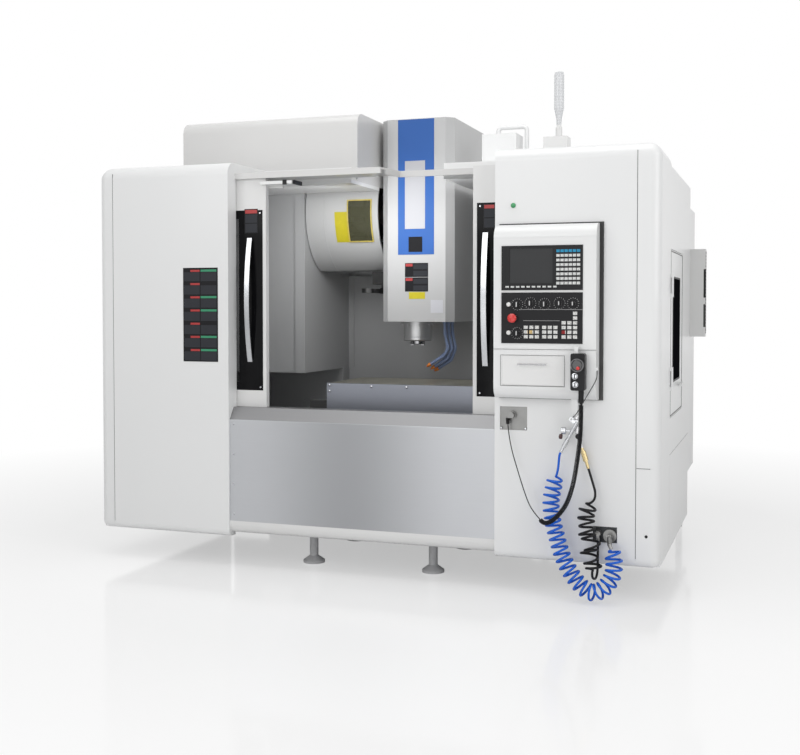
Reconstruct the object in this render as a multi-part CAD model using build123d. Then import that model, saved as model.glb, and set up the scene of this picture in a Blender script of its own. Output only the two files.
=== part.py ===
"""Vertical machining centre with sliding doors, swing console and side-mounted arm tool changer."""
from build123d import *
import math
import os

os.makedirs("parts", exist_ok=True)

# driving dimensions, millimetres; x runs to the right, y to the back, z up from the floor
# x = 0 is the spindle axis and y = 0 the front face of the two front cabinets
enclosure_width = 3140.0
enclosure_depth = 1601.0
skirt_clearance = 135.0
cabinet_height = 2055.0
floor_z = -30.0
opening_left = -745.0
opening_right = 755.0
sheet = 20.0
thin_sheet = 4.0
cabinet_return = 95.0
cabinet_top_depth = 460.0
corner_radius = 44.0
top_radius = 68.0
skirt_radius = 38.0
left_post_width = 93.0
right_post_width = 113.0
groove = 3.0

# front sill and apron
ledge_height = 846.0
ledge_front_height = 779.0
apron_face_y = 10.0
ledge_back_y = 58.0
sill_depth = 82.0
apron_bottom = 223.0
kick_bottom = 153.0

# sliding doors
door_face_y = 100.0
door_thickness = 35.0
door_bottom_gap = 0.3
door_top = 2121.0
door_width = enclosure_width / 2 - 780.0
left_door_edge = -564.0
right_door_edge = 613.0
door_rim = 20.0
pane_bottom = 937.0
pane_top = 1931.0
strip_width = 146.0
pane_thickness = 5.0
handle_bottom = 1095.0
handle_top = 1778.0
handle_stand = 52.0
handle_width = 28.0

# motion
x_travel = 1100.0
x_parked = 256.0
y_travel = 570.0
z_up = 530.0
z_down = 55.0
console_swing_deg = 75.0
flap_swing_deg = 90.0
side_door_swing_deg = 100.0
arm_swing_deg = 7.0
button_travel = 5.0
stop_travel = 6.0

# machine bed, saddle and table
spindle_y = 1045.0
base_half_width = 440.0
base_front_y = 150.0
base_back_y = 2320.0
base_bottom = 150.0
base_top = 590.0
way_height = 40.0
way_width = 70.0
way_spacing = 620.0
saddle_length = 1000.0
saddle_depth = 500.0
saddle_height = 177.4
table_length = 1200.0
table_depth = 550.0
table_thickness = 90.0
table_front_y = 445.0
t_slot_count = 5
t_slot_pitch = 100.0
t_slot_width = 18.0
t_slot_foot = 30.0
table_apron_height = 250.0
running_gap = 0.3
foot_radius = 60.0

# column, head and spindle
column_half_width = 430.0
column_front_y = 1720.0
column_depth = 600.0
column_height = 2380.0
column_top_half = 212.0
column_shoulder_z = 1730.0
arch_half_width = 330.0
arch_top = 790.0
head_cover_left = -175.0
head_cover_right = 275.0
head_cover_front_y = 865.0
head_chamfer = 44.0
head_cover_bottom = 1310.0
head_cover_top = 2515.0
head_cover_back_y = 1575.0
cover_wall = 4.0
cartridge_radius = 84.0
cartridge_bottom = 1192.0
bolt_ring_radius = 100.0
spindle_nose_radius = 44.0
spindle_nose_bottom = 1172.0
taper_mouth_radius = 22.225
taper_depth = 65.4
bore_radius = 12.5

# tool changer
drum_left = -706.0
drum_right = -225.0
drum_y = 1350.0
drum_z = 1990.0
drum_radius = 400.0
drum_flat_z = 1630.0
drum_seam_x = -584.0
pot_count = 20
pot_circle = 320.0
arm_x = -262.0
arm_y = 1197.0
arm_half_length = 303.0
arm_z = 1484.0
arm_thick = 26.0
arm_shaft_radius = 30.0
gearbox_bottom = 1540.0
disc_shaft_radius = 30.0

# console
console_left = 775.0
console_width = 504.0
console_front_y = -103.0
console_back_y = -8.0
console_bottom = 948.0
console_top = 1803.0
console_round = 70.0
panel_left_inset = 40.0
panel_width = 400.0
display_bottom = 1479.0
display_height = 217.0
operator_bottom = 1220.0
operator_height = 248.0
panel_proud = 4.0
flap_bottom = 1013.0
flap_height = 148.0
flap_width = 302.0
flap_thickness = 8.0

# cord routes: points chosen by hand, millimetres in the machine's own frame
lead_radius, curl_radius, hose_radius, coil_radius, lanyard_radius = 3.5, 12.0, 4.5, 42.0, 2.0
pendant_lead_route = [(830, -26, 814), (836, -30, 760), (857, -45, 678), (885, -62, 604), (910, -80, 540),
                      (936, -98, 479), (960, -114, 431), (985, -126, 400), (1017.7, -137.9, 368.3)]
pendant_curl_route = [(1018, -138, 368), (1038.8, -145.6, 347.8), (1078, -151, 364), (1114, -152, 400),
                      (1146, -151, 444), (1168, -150, 501), (1185, -147, 568), (1197, -144, 650), (1209, -139, 740),
                      (1214.5, -135, 840), (1214.5, -135, 932)]
blue_lead_route = [(1103.55, -64, 689.26), (1097, -64, 676.9), (1095, -66, 640), (1091.7, -70.5, 602), (1084, -72, 572)]
blue_coil_route = [(1084, -72, 572), (1064, -76, 494), (1058, -79, 430), (1072, -84, 343), (1092, -90, 277),
                   (1115, -98, 202), (1152, -106, 128), (1206, -110, 56), (1267, -112, 18), (1326, -110, 47),
                   (1362, -102, 101), (1371, -92, 150), (1366, -82, 200), (1353, -76, 232)]
black_lead_route = [(1233.25, -30, 611.1), (1237.6, -30, 597.8), (1255, -38, 548), (1273, -50, 497),
                    (1268, -60, 462), (1246, -66, 447)]
black_coil_route = [(1246, -66, 447), (1229, -70, 400), (1231, -76, 353), (1244, -84, 304), (1254, -92, 236),
                    (1264, -98, 187), (1266, -102, 123)]
black_tail_route = [(1266, -102, 123), (1266.87, -103.75, 95.07), (1275, -62, 78), (1280, -31, 100), (1281, -27, 160),
                    (1281, -26, 256)]
gun_lanyard_route = [(1284, -95, 1094), (1284, -95, 1078), (1285, -110, 1056), (1268, -118, 1020), (1236, -112, 968),
                     (1205, -92, 915), (1176, -72, 872), (1160, -60, 860)]


half = enclosure_width / 2
front_bottom = skirt_clearance
cabinet_top_z = skirt_clearance + cabinet_height


def block(x0, x1, y0, y1, z0, z1):
    """Box between two opposite corners."""
    return Pos((x0 + x1) / 2, (y0 + y1) / 2, (z0 + z1) / 2) * Box(x1 - x0, y1 - y0, z1 - z0)


def rod(start, direction, radius, length):
    """Round bar from a start point along a direction."""
    plane = Plane(origin=start, z_dir=direction)
    return extrude(plane * Circle(radius), length)


def bar(points, plane, amount):
    """Straight extrusion of a closed outline drawn on a plane."""
    return extrude(plane * make_face(Polyline(*points, close=True)), amount)


def outline(*parts):
    """Face inside joined lines and arcs."""
    return make_face([edge for part in parts for edge in part.edges()])


def side_plane(x):
    """Plane facing +X whose local axes are y and z."""
    return Plane(origin=(x, 0, 0), x_dir=(0, 1, 0), z_dir=(1, 0, 0))


def front_plane(y):
    """Plane facing -Y whose local axes are x and z."""
    return Plane(origin=(0, y, 0), x_dir=(1, 0, 0), z_dir=(0, -1, 0))


nodes = {}


def cabinet(outer_x, inner_x, post_width):
    """Front cabinet shell, open to the back, with a rounded outer corner and a post groove."""
    s = 1 if outer_x > inner_x else -1
    lo, hi = sorted((outer_x, inner_x))

    def body(inset, corner, top_r, low_r, back):
        b = block(lo + inset, hi - inset, inset, back, front_bottom + inset, cabinet_top_z - inset)
        x_out = outer_x - s * inset
        b = fillet([e for e in b.edges() if abs(e.center().X - x_out) < 1 and abs(e.center().Y - inset) < 1], corner)
        b = fillet([e for e in b.edges() if abs(e.center().Z - cabinet_top_z + inset) < 1
                    and abs(e.center().Y - inset) < 1], top_r)
        low = [e for e in b.edges() if abs(e.center().Z - front_bottom - inset) < 1
               and abs(e.center().Y - inset) < 1]
        return fillet(low, low_r)

    shell = body(0, corner_radius, top_radius, skirt_radius, cabinet_top_depth)
    shell -= body(sheet, corner_radius - sheet, top_radius - sheet, skirt_radius - sheet, cabinet_top_depth + 50)
    # the outer return ends at the side panel, below the rounded top
    side_cut = sorted((outer_x + s * 5, outer_x - s * (sheet + 5)))
    shell -= block(*side_cut, side_return, cabinet_top_depth + 5, front_bottom - 5, side_top)
    # the inner return ends in front of the doors, below the door header
    inner_cut = sorted((inner_x - s * 5, inner_x + s * (sheet + 5)))
    shell -= block(*inner_cut, cabinet_return, cabinet_top_depth + 5, front_bottom - 5, rail_top)
    # the bottom flange keeps only its front strip
    shell -= block(lo - 5, hi + 5, side_return + 30, cabinet_top_depth + 5, front_bottom - 5, front_bottom + sheet + 5)
    seam = outer_x - s * post_width
    shell -= block(seam - groove / 2, seam + groove / 2, -5, groove, front_bottom - 5, cabinet_top_z + 5)
    shell -= block(seam - groove / 2, seam + groove / 2, 0, cabinet_top_depth + 5, cabinet_top_z - groove, cabinet_top_z + 5)
    return shell


side_return = 45.0
rail_bottom, rail_top = 2102.0, 2135.0
side_top = cabinet_top_z - top_radius
side_panel_start = side_return + 0.3

# front cabinets; the right one carries the swing console on its front
left_cabinet = cabinet(-half, opening_left, left_post_width)
right_cabinet = cabinet(half, opening_right, right_post_width)
post_joint_z = front_bottom + 481.0
right_cabinet -= block(half - right_post_width, half + 5, -5, groove, post_joint_z, post_joint_z + groove)
right_cabinet -= block(half - groove, half + 5, 0, side_return + 5, post_joint_z, post_joint_z + groove)
nodes["left_cabinet"] = left_cabinet

# recessed pockets for the cable socket and the hose couplings
socket_x0, socket_x1, socket_z0, socket_z1 = 783.0, 922.0, 782.0, 900.0
coupling_x0, coupling_x1, coupling_z0, coupling_z1 = 1251.0, 1369.0, 248.0, 326.0
plate_inset = 6.0
for x0, x1, z0, z1 in ((socket_x0, socket_x1, socket_z0, socket_z1),
                       (coupling_x0, coupling_x1, coupling_z0, coupling_z1)):
    right_cabinet -= block(x0, x1, -5, sheet + 5, z0, z1)

# lamp seat on the right cabinet
lamp_x, lamp_z, lamp_radius = 850.0, 1902.0, 15.0
right_cabinet += rod((lamp_x, 0, lamp_z), (0, -1, 0), lamp_radius, 7)

service_plates = block(socket_x0, socket_x1, plate_inset, sheet, socket_z0, socket_z1)
socket_centre = (845.0, 858.0)
socket_barrel_radius = 17.0
socket_barrel_end = -34.0
service_plates += rod((socket_centre[0], plate_inset, socket_centre[1]), (0, -1, 0), 22, 10)
service_plates += rod((socket_centre[0], plate_inset, socket_centre[1]), (0, -1, 0),
                      socket_barrel_radius, plate_inset - socket_barrel_end)
coupling_plate = block(coupling_x0, coupling_x1, plate_inset, sheet, coupling_z0, coupling_z1)
blue_port = (1335.0, 283.0)
black_port = (1281.0, 296.0)
port_radius = 13.0
port_end = -38.0
coupling_plate += rod((blue_port[0], plate_inset, blue_port[1]), (0, -1, 0), 32, 14)
for px, pz in (blue_port, black_port):
    coupling_plate += rod((px, plate_inset, pz), (0, -1, 0), port_radius, plate_inset - port_end)


def fitting(port, cord_end, past_end, ferrule_radius, ferrule_length):
    """Elbow from a port to a ferrule that meets a cord's end face squarely."""
    end, along = Vector(*cord_end), (Vector(*past_end) - Vector(*cord_end)).normalized()
    knee = end + along * ferrule_length
    arm = knee - Vector(*port)
    return (rod(tuple(end), tuple(along), ferrule_radius, ferrule_length + 4)
            + rod(port, tuple(arm), ferrule_radius + 2, arm.length + 3))


service_plates += fitting((socket_centre[0], -22, socket_centre[1]), (830, -26, 814), (824, -22, 868), 8, 22)
coupling_plate += fitting((blue_port[0], -27, blue_port[1]), (1353, -76, 232), (1340, -70, 264), 9, 24)
coupling_plate += rod((black_port[0], -26, 256), (0, 1, 96), 9, 42)
nodes["service_plates"] = Compound([service_plates.solid(), coupling_plate.solid()])


def side_panel(s):
    """Side sheet with its lower service cover; the right one has the service door opening."""
    x0, x1 = sorted((s * half, s * (half - sheet)))
    panel = block(x0, x1, side_panel_start, enclosure_depth, front_bottom, side_top)
    out = s * (half + 5)
    deep = s * (half - groove)
    a, b = sorted((out, deep))
    joint_y = 459.0
    panel -= block(a, b, joint_y, enclosure_depth + 5, side_joint_z, side_joint_z + groove)
    panel -= block(a, b, joint_y, joint_y + groove, front_bottom - 5, side_joint_z)
    # stepped rear edge above the lower cover
    panel -= block(*sorted((out, s * (half - sheet - 5))), enclosure_depth - 65, enclosure_depth + 5,
                   front_bottom - 5, side_joint_z + groove)
    return panel


side_joint_z = front_bottom + 494.0
service_y0, service_y1 = 462.0, 1112.0
service_z0, service_z1 = 821.0, 1698.0
service_gap = 3.0
left_side = side_panel(-1)
right_side = side_panel(1)
right_side -= block(half - sheet - 5, half + 5, service_y0, service_y1, service_z0, service_z1)

# service door on the right side, hinged along its front edge
door_x0, door_x1 = half - sheet + 2, half - 1.0
service_window = (582.0, 967.0, 1004.0, 1553.0)
side_door = block(door_x0, door_x1, service_y0 + service_gap, service_y1 - service_gap,
                  service_z0 + service_gap, service_z1 - service_gap)
wy0, wy1, wz0, wz1 = service_window
side_door -= block(door_x1 - 4, door_x1 + 5, wy0, wy1, wz0, wz1)
hinge_x = half + 7.0
hinge_y = service_y0 + service_gap + 5
hinge_radius = 7.0
hinge_length = 80.0
hinge_pin_radius = 3.0
for hz in (service_z0 + 165, service_z1 - 230):
    side_door += rod((hinge_x, hinge_y, hz), (0, 0, 1), hinge_radius, hinge_length)
    side_door += block(door_x1 - 2, hinge_x, hinge_y, hinge_y + 30, hz, hz + hinge_length)
    side_door -= rod((hinge_x, hinge_y, hz - 5), (0, 0, 1), hinge_pin_radius + running_gap, hinge_length + 10)
    right_side += rod((hinge_x, hinge_y, hz - 20), (0, 0, 1), hinge_pin_radius, hinge_length + 40)
    for ez in (hz - 20, hz + hinge_length + running_gap):
        right_side += rod((hinge_x, hinge_y, ez), (0, 0, 1), hinge_radius, 20 - running_gap)
        right_side += block(half, hinge_x, hinge_y - 30, hinge_y, ez, ez + 20 - running_gap)
latch_z = service_z0 + 150
side_door += rod((door_x1 - 2, wy1 - 30, latch_z), (1, 0, 0), 11, 26)
side_door += block(door_x1 + 14, door_x1 + 26, wy1 - 120, wy1 - 20, latch_z - 9, latch_z + 9)
nodes["side_door"] = side_door
nodes["side_panels"] = Compound([left_side.solid(), right_side.solid()])

# brushed apron under the doors with its slanted ledge and the door sill
sill_y = ledge_back_y + sill_depth
apron_profile = [(apron_face_y, apron_bottom), (apron_face_y, ledge_front_height), (ledge_back_y, ledge_height),
                 (sill_y, ledge_height), (sill_y, ledge_height - sheet / 2),
                 (ledge_back_y + 6, ledge_height - sheet / 2), (apron_face_y + sheet, ledge_front_height - 8),
                 (apron_face_y + sheet, apron_bottom)]
opening_width = opening_right - opening_left
nodes["front_apron"] = bar(apron_profile, side_plane(opening_left), opening_width)
kick_line = Polyline((apron_face_y + sheet, apron_bottom), (apron_face_y, apron_bottom),
                     (apron_face_y, kick_bottom + 50))
kick_arc = ThreePointArc((apron_face_y, kick_bottom + 50), (apron_face_y + 15, kick_bottom + 15),
                         (apron_face_y + 50, kick_bottom))
kick_back = Polyline((apron_face_y + 50, kick_bottom), (apron_face_y + 50, kick_bottom + sheet),
                     (apron_face_y + sheet, kick_bottom + 52), (apron_face_y + sheet, apron_bottom))
kick_face = outline(kick_line, kick_arc, kick_back)
nodes["kick_plate"] = extrude(side_plane(opening_left) * kick_face, opening_width)

# door header: a folded rail that steps back to let the head cover rise in front of the roof
rail_y, rail_back_y, rail_step_x0, rail_step_x1 = 80.0, 290.0, 110.0, 150.0
rail_flange = 12.0
rail_plan = [(opening_left, rail_y), (rail_step_x0, rail_y), (rail_step_x1, rail_back_y), (opening_right, rail_back_y),
             (opening_right, rail_back_y + rail_flange), (rail_step_x1 - 7, rail_back_y + rail_flange),
             (rail_step_x0 - 7, rail_y + rail_flange), (opening_left, rail_y + rail_flange)]
rail = bar(rail_plan, Plane.XY.offset(rail_bottom), rail_top - rail_bottom)
lid_plan = [(opening_left, rail_y + rail_flange), (rail_step_x0 - 7, rail_y + rail_flange),
            (rail_step_x1 - 7, rail_back_y + rail_flange), (opening_right, rail_back_y + rail_flange),
            (opening_right, cabinet_top_depth), (opening_left, cabinet_top_depth)]
rail += bar(lid_plan, Plane.XY.offset(rail_top - thin_sheet), thin_sheet)
rail -= block(rail_step_x0 - 15, rail_step_x1 + 15, rail_y + rail_flange + 2, door_face_y + door_thickness + 10,
              rail_bottom - 5, door_top + 3)
for s, x in ((-1, opening_left), (1, opening_right)):
    rail += block(*sorted((x, s * (half - 140))), cabinet_return + 1, rail_back_y + 6, rail_top - thin_sheet, rail_top)
nodes["top_rail"] = rail

# roof sheets beside the opening for the head, with the small valve box that stands on the right one
roof_left, roof_right = -205.0, 345.0
roof_z = side_top
roof_sheets = [block(-half + sheet, roof_left, cabinet_top_depth, enclosure_depth, roof_z - sheet, roof_z),
               block(roof_right, half - sheet, cabinet_top_depth, enclosure_depth, roof_z - sheet, roof_z)]
for k, (x0, x1) in enumerate(((-half + top_radius, roof_left), (roof_right, half - top_radius))):
    roof_sheets[k] += block(x0, x1, cabinet_top_depth, cabinet_top_depth + thin_sheet, roof_z, cabinet_top_z)
drum_hole_front, drum_hole_back = drum_y - drum_radius - 30, enclosure_depth
roof_sheets[0] -= block(drum_left - 20, roof_left + 5, drum_hole_front, drum_hole_back + 5, roof_z - 2 * sheet, roof_z + 5)
valve_box = block(443, 647, 900, 1080, roof_z, roof_z + 285)
conduit_y = 990.0
conduit_line = FilletPolyline((520, conduit_y, roof_z + 285), (520, conduit_y, roof_z + 330),
                              (690, conduit_y, roof_z + 330), (690, conduit_y, roof_z), radius=22)
conduit = sweep(Plane(origin=conduit_line @ 0, z_dir=conduit_line % 0) * Circle(13), conduit_line)
roof_sheets[1] += valve_box + conduit
nodes["roof_panels"] = Compound([s.solid() for s in roof_sheets])

# back skins with the deeper bay that holds the magazine beside the column
bay_left, bay_right = -780.0, base_half_width + 40
bay_back = max(drum_y + drum_radius + 25, enclosure_depth + 2 * sheet)
rear_panels = []
for x0, x1 in ((-half + sheet, bay_left), (bay_right, half - sheet)):
    skin = block(x0, x1, enclosure_depth - sheet, enclosure_depth, front_bottom + 40, roof_z - sheet)
    for k in range(5):
        louvre_z = 520 + 36 * k
        skin -= block(x0 + 200, x0 + 460, enclosure_depth - sheet - 5, enclosure_depth + 5, louvre_z, louvre_z + 12)
    rear_panels.append(skin)
rear_panels[0] += block(bay_left, bay_left + sheet, enclosure_depth - sheet, bay_back, front_bottom + 40, roof_z - sheet)
rear_panels[0] += block(bay_left, -base_half_width, bay_back - sheet, bay_back, front_bottom + 40, roof_z - sheet)
rear_panels[0] += block(bay_left, -column_top_half - 2, enclosure_depth, bay_back, roof_z - sheet, roof_z)
rear_panels[1] += block(350, bay_right, enclosure_depth, bay_back, roof_z - sheet, roof_z)
rear_panels[0] -= block(drum_left - 20, -column_top_half + 5, enclosure_depth - 1, drum_y + drum_radius + 20,
                        roof_z - sheet - 5, roof_z + 5)
rear_panels[1] += block(bay_right - sheet, bay_right, enclosure_depth - sheet, bay_back, front_bottom + 40, roof_z - sheet)
rear_panels[1] += block(base_half_width, bay_right, bay_back - sheet, bay_back, front_bottom + 40, roof_z - sheet)
nodes["rear_panels"] = Compound([p.solid() for p in rear_panels])

# machine bed: ribbed casting with two raised ways and a chip gutter each side
bed_profile = [(-base_half_width, base_bottom), (base_half_width, base_bottom), (base_half_width, base_top - 60),
               (way_spacing / 2 + way_width, base_top), (-way_spacing / 2 - way_width, base_top),
               (-base_half_width, base_top - 60)]
bed = bar(bed_profile, front_plane(base_front_y), -(base_back_y - base_front_y))
bed -= block(-way_spacing / 2 + 60, way_spacing / 2 - 60, base_front_y + 60, column_front_y - 60, base_top - 90, base_top + 5)
rib_pitch = 310.0
for s in (-1, 1):
    for k in range(7):
        y0 = base_front_y + 40 + rib_pitch * k
        bed -= block(*sorted((s * (base_half_width - 45), s * (base_half_width + 5))), y0, y0 + rib_pitch - 50,
                     base_bottom + 50, base_top - 110)
    bed += block(*sorted((s * way_spacing / 2, s * (way_spacing / 2 + way_width))), base_front_y + 20,
                 column_front_y - 20, base_top, base_top + way_height)
foot_rows = (base_front_y + 110, 900.0, 1600.0, base_back_y - 110)
foot_x = base_half_width - 90
for y in foot_rows:
    for s in (-1, 1):
        bed -= rod((s * foot_x, y, base_bottom - 5), (0, 0, 1), 14, 65)
for s in (-1, 1):
    bed += block(*sorted((s * 300, s * 360)), apron_face_y + sheet, base_front_y, 300, 500)


def levelling_foot(x, y):
    """Turned levelling foot: pad, cone, stud and lock nut under the bed."""
    z = floor_z
    pad = [(0, z), (foot_radius, z), (foot_radius, z + 14), (32, z + 34), (24, z + 40), (24, base_bottom - 22), (34, base_bottom - 22),
           (34, base_bottom), (13.6, base_bottom), (13.6, base_bottom + 50), (0, base_bottom + 50)]
    face = Plane.XZ * make_face(Polyline(*pad, close=True))
    return Pos(x, y, 0) * revolve(face, Axis.Z)


nodes["levelling_feet"] = Compound([levelling_foot(s * foot_x, y).solid() for y in foot_rows for s in (-1, 1)])

# column: A-shaped casting on the back of the bed, arched at its foot, with two vertical ways
column_back_y = column_front_y + column_depth
column_outline = [(-column_half_width, base_top), (column_half_width, base_top), (column_half_width, 1250),
                  (column_top_half, column_shoulder_z), (column_top_half, column_height), (-column_top_half, column_height),
                  (-column_top_half, column_shoulder_z), (-column_half_width, 1250)]
column = bar(column_outline, front_plane(column_front_y), -column_depth)
column -= block(-arch_half_width, arch_half_width, column_front_y - 5, column_back_y - 60, base_top - 5, arch_top)
column -= block(-130, 130, column_back_y - 260, column_back_y + 5, 1150, column_height - 180)
for z0, z1 in ((860, 1090), (1300, 1530), (1570, 1800), (1840, 2070)):
    for s in (-1, 1):
        edge = column_half_width if z1 < 1250 else 330 if z1 < 1600 else column_top_half
        column -= block(*sorted((s * (edge - 40), s * (column_half_width + 5))), column_front_y + 120,
                        column_back_y - 100, z0, z1)
z_way_x, z_way_width, z_way_thick = 135.0, 55.0, 40.0
z_way_bottom = 1250.0
for s in (-1, 1):
    column += block(*sorted((s * (z_way_x - z_way_width / 2), s * (z_way_x + z_way_width / 2))),
                    column_front_y - z_way_thick, column_front_y, z_way_bottom, column_height - 20)

# axis servo motors of the bed and the column
motor_side = 130.0


def servo_motor(shape_plane):
    """Square servo motor with its round connector head, standing on a plane."""
    body = extrude(shape_plane * Rectangle(motor_side, motor_side), 190)
    neck = extrude(shape_plane.offset(190) * Rectangle(motor_side - 24, motor_side - 24), 60)
    flange = extrude(shape_plane * Rectangle(motor_side + 30, motor_side + 30), 14)
    return (body + neck + flange).solid()


column += servo_motor(Plane(origin=(0, column_front_y + 200, column_height), z_dir=(0, 0, 1)))
bed += servo_motor(Plane(origin=(0, base_back_y, base_top - 140), x_dir=(1, 0, 0), z_dir=(0, 1, 0)))
nodes["column_casting"] = column
nodes["base_casting"] = bed

# working chamber: side walls, back wall, sloped pans, the guard under the magazine and the fixed way covers
wall_x = half - 308
wall_y0 = 170.0
wall_back_y = 1690.0
pan_outer_z, pan_inner_z = 690.0, base_top - 60
guard_x, guard_front_y, guard_bottom = -716.0, 955.0, 985.0
side_back_y = enclosure_depth - sheet - thin_sheet
slot_half, slot_bottom = 193.0, 1245.0
fixed_cover_half, fixed_cover_y, fixed_cover_top = 261.0, 1600.0, 1151.0
cover_half, cover_start_y, cover_length, cover_step, cover_z = base_half_width - 4, 150.0, 312.0, 12.0, 655.0
carriage_y0, carriage_half = 1630.0, 185.0
z_sheet_half, z_sheet_bottom = 198.0, 745.0
lining = []
for s in (-1, 1):
    lining.append(block(*sorted((s * wall_x, s * (wall_x + thin_sheet))), wall_y0, enclosure_depth - sheet,
                        pan_outer_z, roof_z - sheet))
    pan = [(s * wall_x, pan_outer_z), (s * wall_x, pan_outer_z - 6), (s * base_half_width, pan_inner_z - 6),
           (s * base_half_width, pan_inner_z)]
    lining.append(bar(pan, front_plane(sill_y + 5), -(enclosure_depth - sheet - sill_y - 5)))
lining.append(block(-wall_x, guard_x, side_back_y, side_back_y + thin_sheet, pan_outer_z, roof_z - sheet))
lining.append(block(bay_right, wall_x, side_back_y, side_back_y + thin_sheet, pan_outer_z, roof_z - sheet))
back_wall = block(guard_x, bay_right - sheet, wall_back_y, wall_back_y + thin_sheet, 800, roof_z - sheet)
back_wall -= block(-slot_half, slot_half, wall_back_y - 5, wall_back_y + 10, slot_bottom, roof_z)
back_wall -= block(drum_left - 5, drum_right + 17, wall_back_y - 5, wall_back_y + 10, drum_flat_z - 20, roof_z)
back_wall += block(guard_x, guard_x + thin_sheet, min(side_back_y, wall_back_y - sheet), wall_back_y, 800, guard_bottom)
back_wall += block(bay_right - sheet - thin_sheet, bay_right - sheet, min(side_back_y, wall_back_y - sheet), wall_back_y, 800,
                   roof_z - sheet)
lining.append(back_wall)
guard = block(-wall_x + thin_sheet, guard_x + thin_sheet, guard_front_y, guard_front_y + thin_sheet,
              guard_bottom, roof_z - sheet)
guard += block(guard_x, guard_x + thin_sheet, guard_front_y, wall_back_y, guard_bottom, roof_z - sheet)
guard += block(guard_x - 62, guard_x + thin_sheet, guard_front_y - 10, guard_front_y, guard_bottom, roof_z - sheet)
guard += block(guard_x + thin_sheet, guard_x + 40, wall_back_y - 8, wall_back_y, guard_bottom, drum_flat_z - 20)
lining.append(guard)
z_cover_fixed = block(-fixed_cover_half, fixed_cover_half, fixed_cover_y, fixed_cover_y + thin_sheet, 720, fixed_cover_top)
for s in (-1, 1):
    z_cover_fixed += block(*sorted((s * fixed_cover_half, s * (fixed_cover_half - thin_sheet))), fixed_cover_y,
                           wall_back_y, 800, fixed_cover_top)
lining.append(z_cover_fixed)
y_cover_fixed = block(-cover_half, cover_half, cover_start_y, cover_start_y + cover_length, cover_z - thin_sheet, cover_z)
for s in (-1, 1):
    y_cover_fixed += block(*sorted((s * cover_half, s * (cover_half - thin_sheet))), cover_start_y,
                           cover_start_y + cover_length, base_top - 52, cover_z)
y_cover_fixed += block(-cover_half, cover_half, cover_start_y, cover_start_y + thin_sheet, base_top, cover_z)
lining.append(y_cover_fixed)
nodes["chamber_lining"] = Compound([p.solid() for p in lining])


def way_cover(step, y0, y1):
    """One telescopic segment over the bed ways; each step is a little wider and higher."""
    half_width = cover_half + cover_step * step
    top = cover_z + cover_step * step
    c = block(-half_width, half_width, y0, y1, top - thin_sheet, top)
    for s in (-1, 1):
        c += block(*sorted((s * half_width, s * (half_width - thin_sheet))), y0, y1, pan_inner_z + 6 + 4 * step, top)
    c += block(-half_width, half_width, y0, y0 + 3, top, top + 5)
    wiper_z = top - cover_step + running_gap
    c += block(-half_width + cover_step + 2, half_width - cover_step - 2, y0, y0 + 3, wiper_z, top - thin_sheet)
    return c.solid()


saddle_y0 = table_front_y + (table_depth - saddle_depth) / 2
saddle_y1 = saddle_y0 + saddle_depth
saddle_z0 = base_top + way_height + running_gap
saddle_z1 = saddle_z0 + saddle_height
nodes["y_cover_middle"] = way_cover(1, cover_start_y + 6, cover_start_y + 6 + cover_length)
moving_cover = way_cover(2, cover_start_y + 12, saddle_y0)
rear_sheet = block(-arch_half_width + 30, arch_half_width - 30, saddle_y1, 1650, cover_z + 10, cover_z + 14)
nodes["y_cover_moving"] = Compound([moving_cover, rear_sheet.solid()])

# saddle: slides on the bed ways and carries the two long cross ways
saddle = block(-saddle_length / 2, saddle_length / 2, saddle_y0, saddle_y1, saddle_z0 + 30, saddle_z1)
saddle += block(-way_spacing / 2 - way_width - 40, way_spacing / 2 + way_width + 40, saddle_y0, saddle_y1,
                saddle_z0, saddle_z0 + 40)
for s in (-1, 1):
    lip = sorted((s * (way_spacing / 2 + way_width + running_gap), s * (way_spacing / 2 + way_width + 40)))
    saddle += block(*lip, saddle_y0 + 4, saddle_y1 - 4, base_top + 14, saddle_z0 + 5)
cross_way_y = (saddle_y0 + 70, saddle_y1 - 70 - way_width)
cross_way_top = saddle_z1 + 45
for y in cross_way_y:
    saddle += block(-saddle_length / 2, saddle_length / 2, y, y + way_width, saddle_z1, cross_way_top)
saddle -= block(-saddle_length / 2 + 90, saddle_length / 2 - 90, cross_way_y[0] + way_width + 50,
                cross_way_y[1] - 50, saddle_z1 - 50, saddle_z1 + 5)
for s in (-1, 1):
    saddle -= block(*sorted((s * 430, s * (saddle_length / 2 + 5))), saddle_y0 + 40, saddle_y1 - 40, saddle_z0 + 25, saddle_z0 + 55)
nodes["saddle_casting"] = saddle

# table height over its ways
table_bottom = cross_way_top + running_gap + 20

# table with its T-slots, side gutters and carriage pads
tx0 = x_parked - table_length / 2
tx1 = tx0 + table_length
ty1 = table_front_y + table_depth
table_top = table_bottom + table_thickness
table = block(tx0, tx1, table_front_y, ty1, table_bottom, table_top)
slot_depth = 32.0
for k in range(t_slot_count):
    y = table_front_y + table_depth / 2 + (k - (t_slot_count - 1) / 2) * t_slot_pitch
    table -= block(tx0 - 5, tx1 + 5, y - t_slot_width / 2, y + t_slot_width / 2, table_top - slot_depth, table_top + 5)
    table -= block(tx0 - 5, tx1 + 5, y - t_slot_foot / 2, y + t_slot_foot / 2, table_top - slot_depth,
                   table_top - slot_depth + 14)
table -= block(tx0 + 60, tx1 - 60, table_front_y + 40, table_front_y + 60, table_bottom - 5, table_bottom + 30)
for y in cross_way_y:
    pad = block(tx0 + 200, tx1 - 200, y - 20, y + way_width + 20, cross_way_top + running_gap, table_bottom)
    for g in ((y - 20, y - running_gap), (y + way_width + running_gap, y + way_width + 20)):
        pad += block(tx0 + 200, tx1 - 200, *g, cross_way_top - 26, table_bottom)
    table += pad
nodes["work_table"] = table

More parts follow.
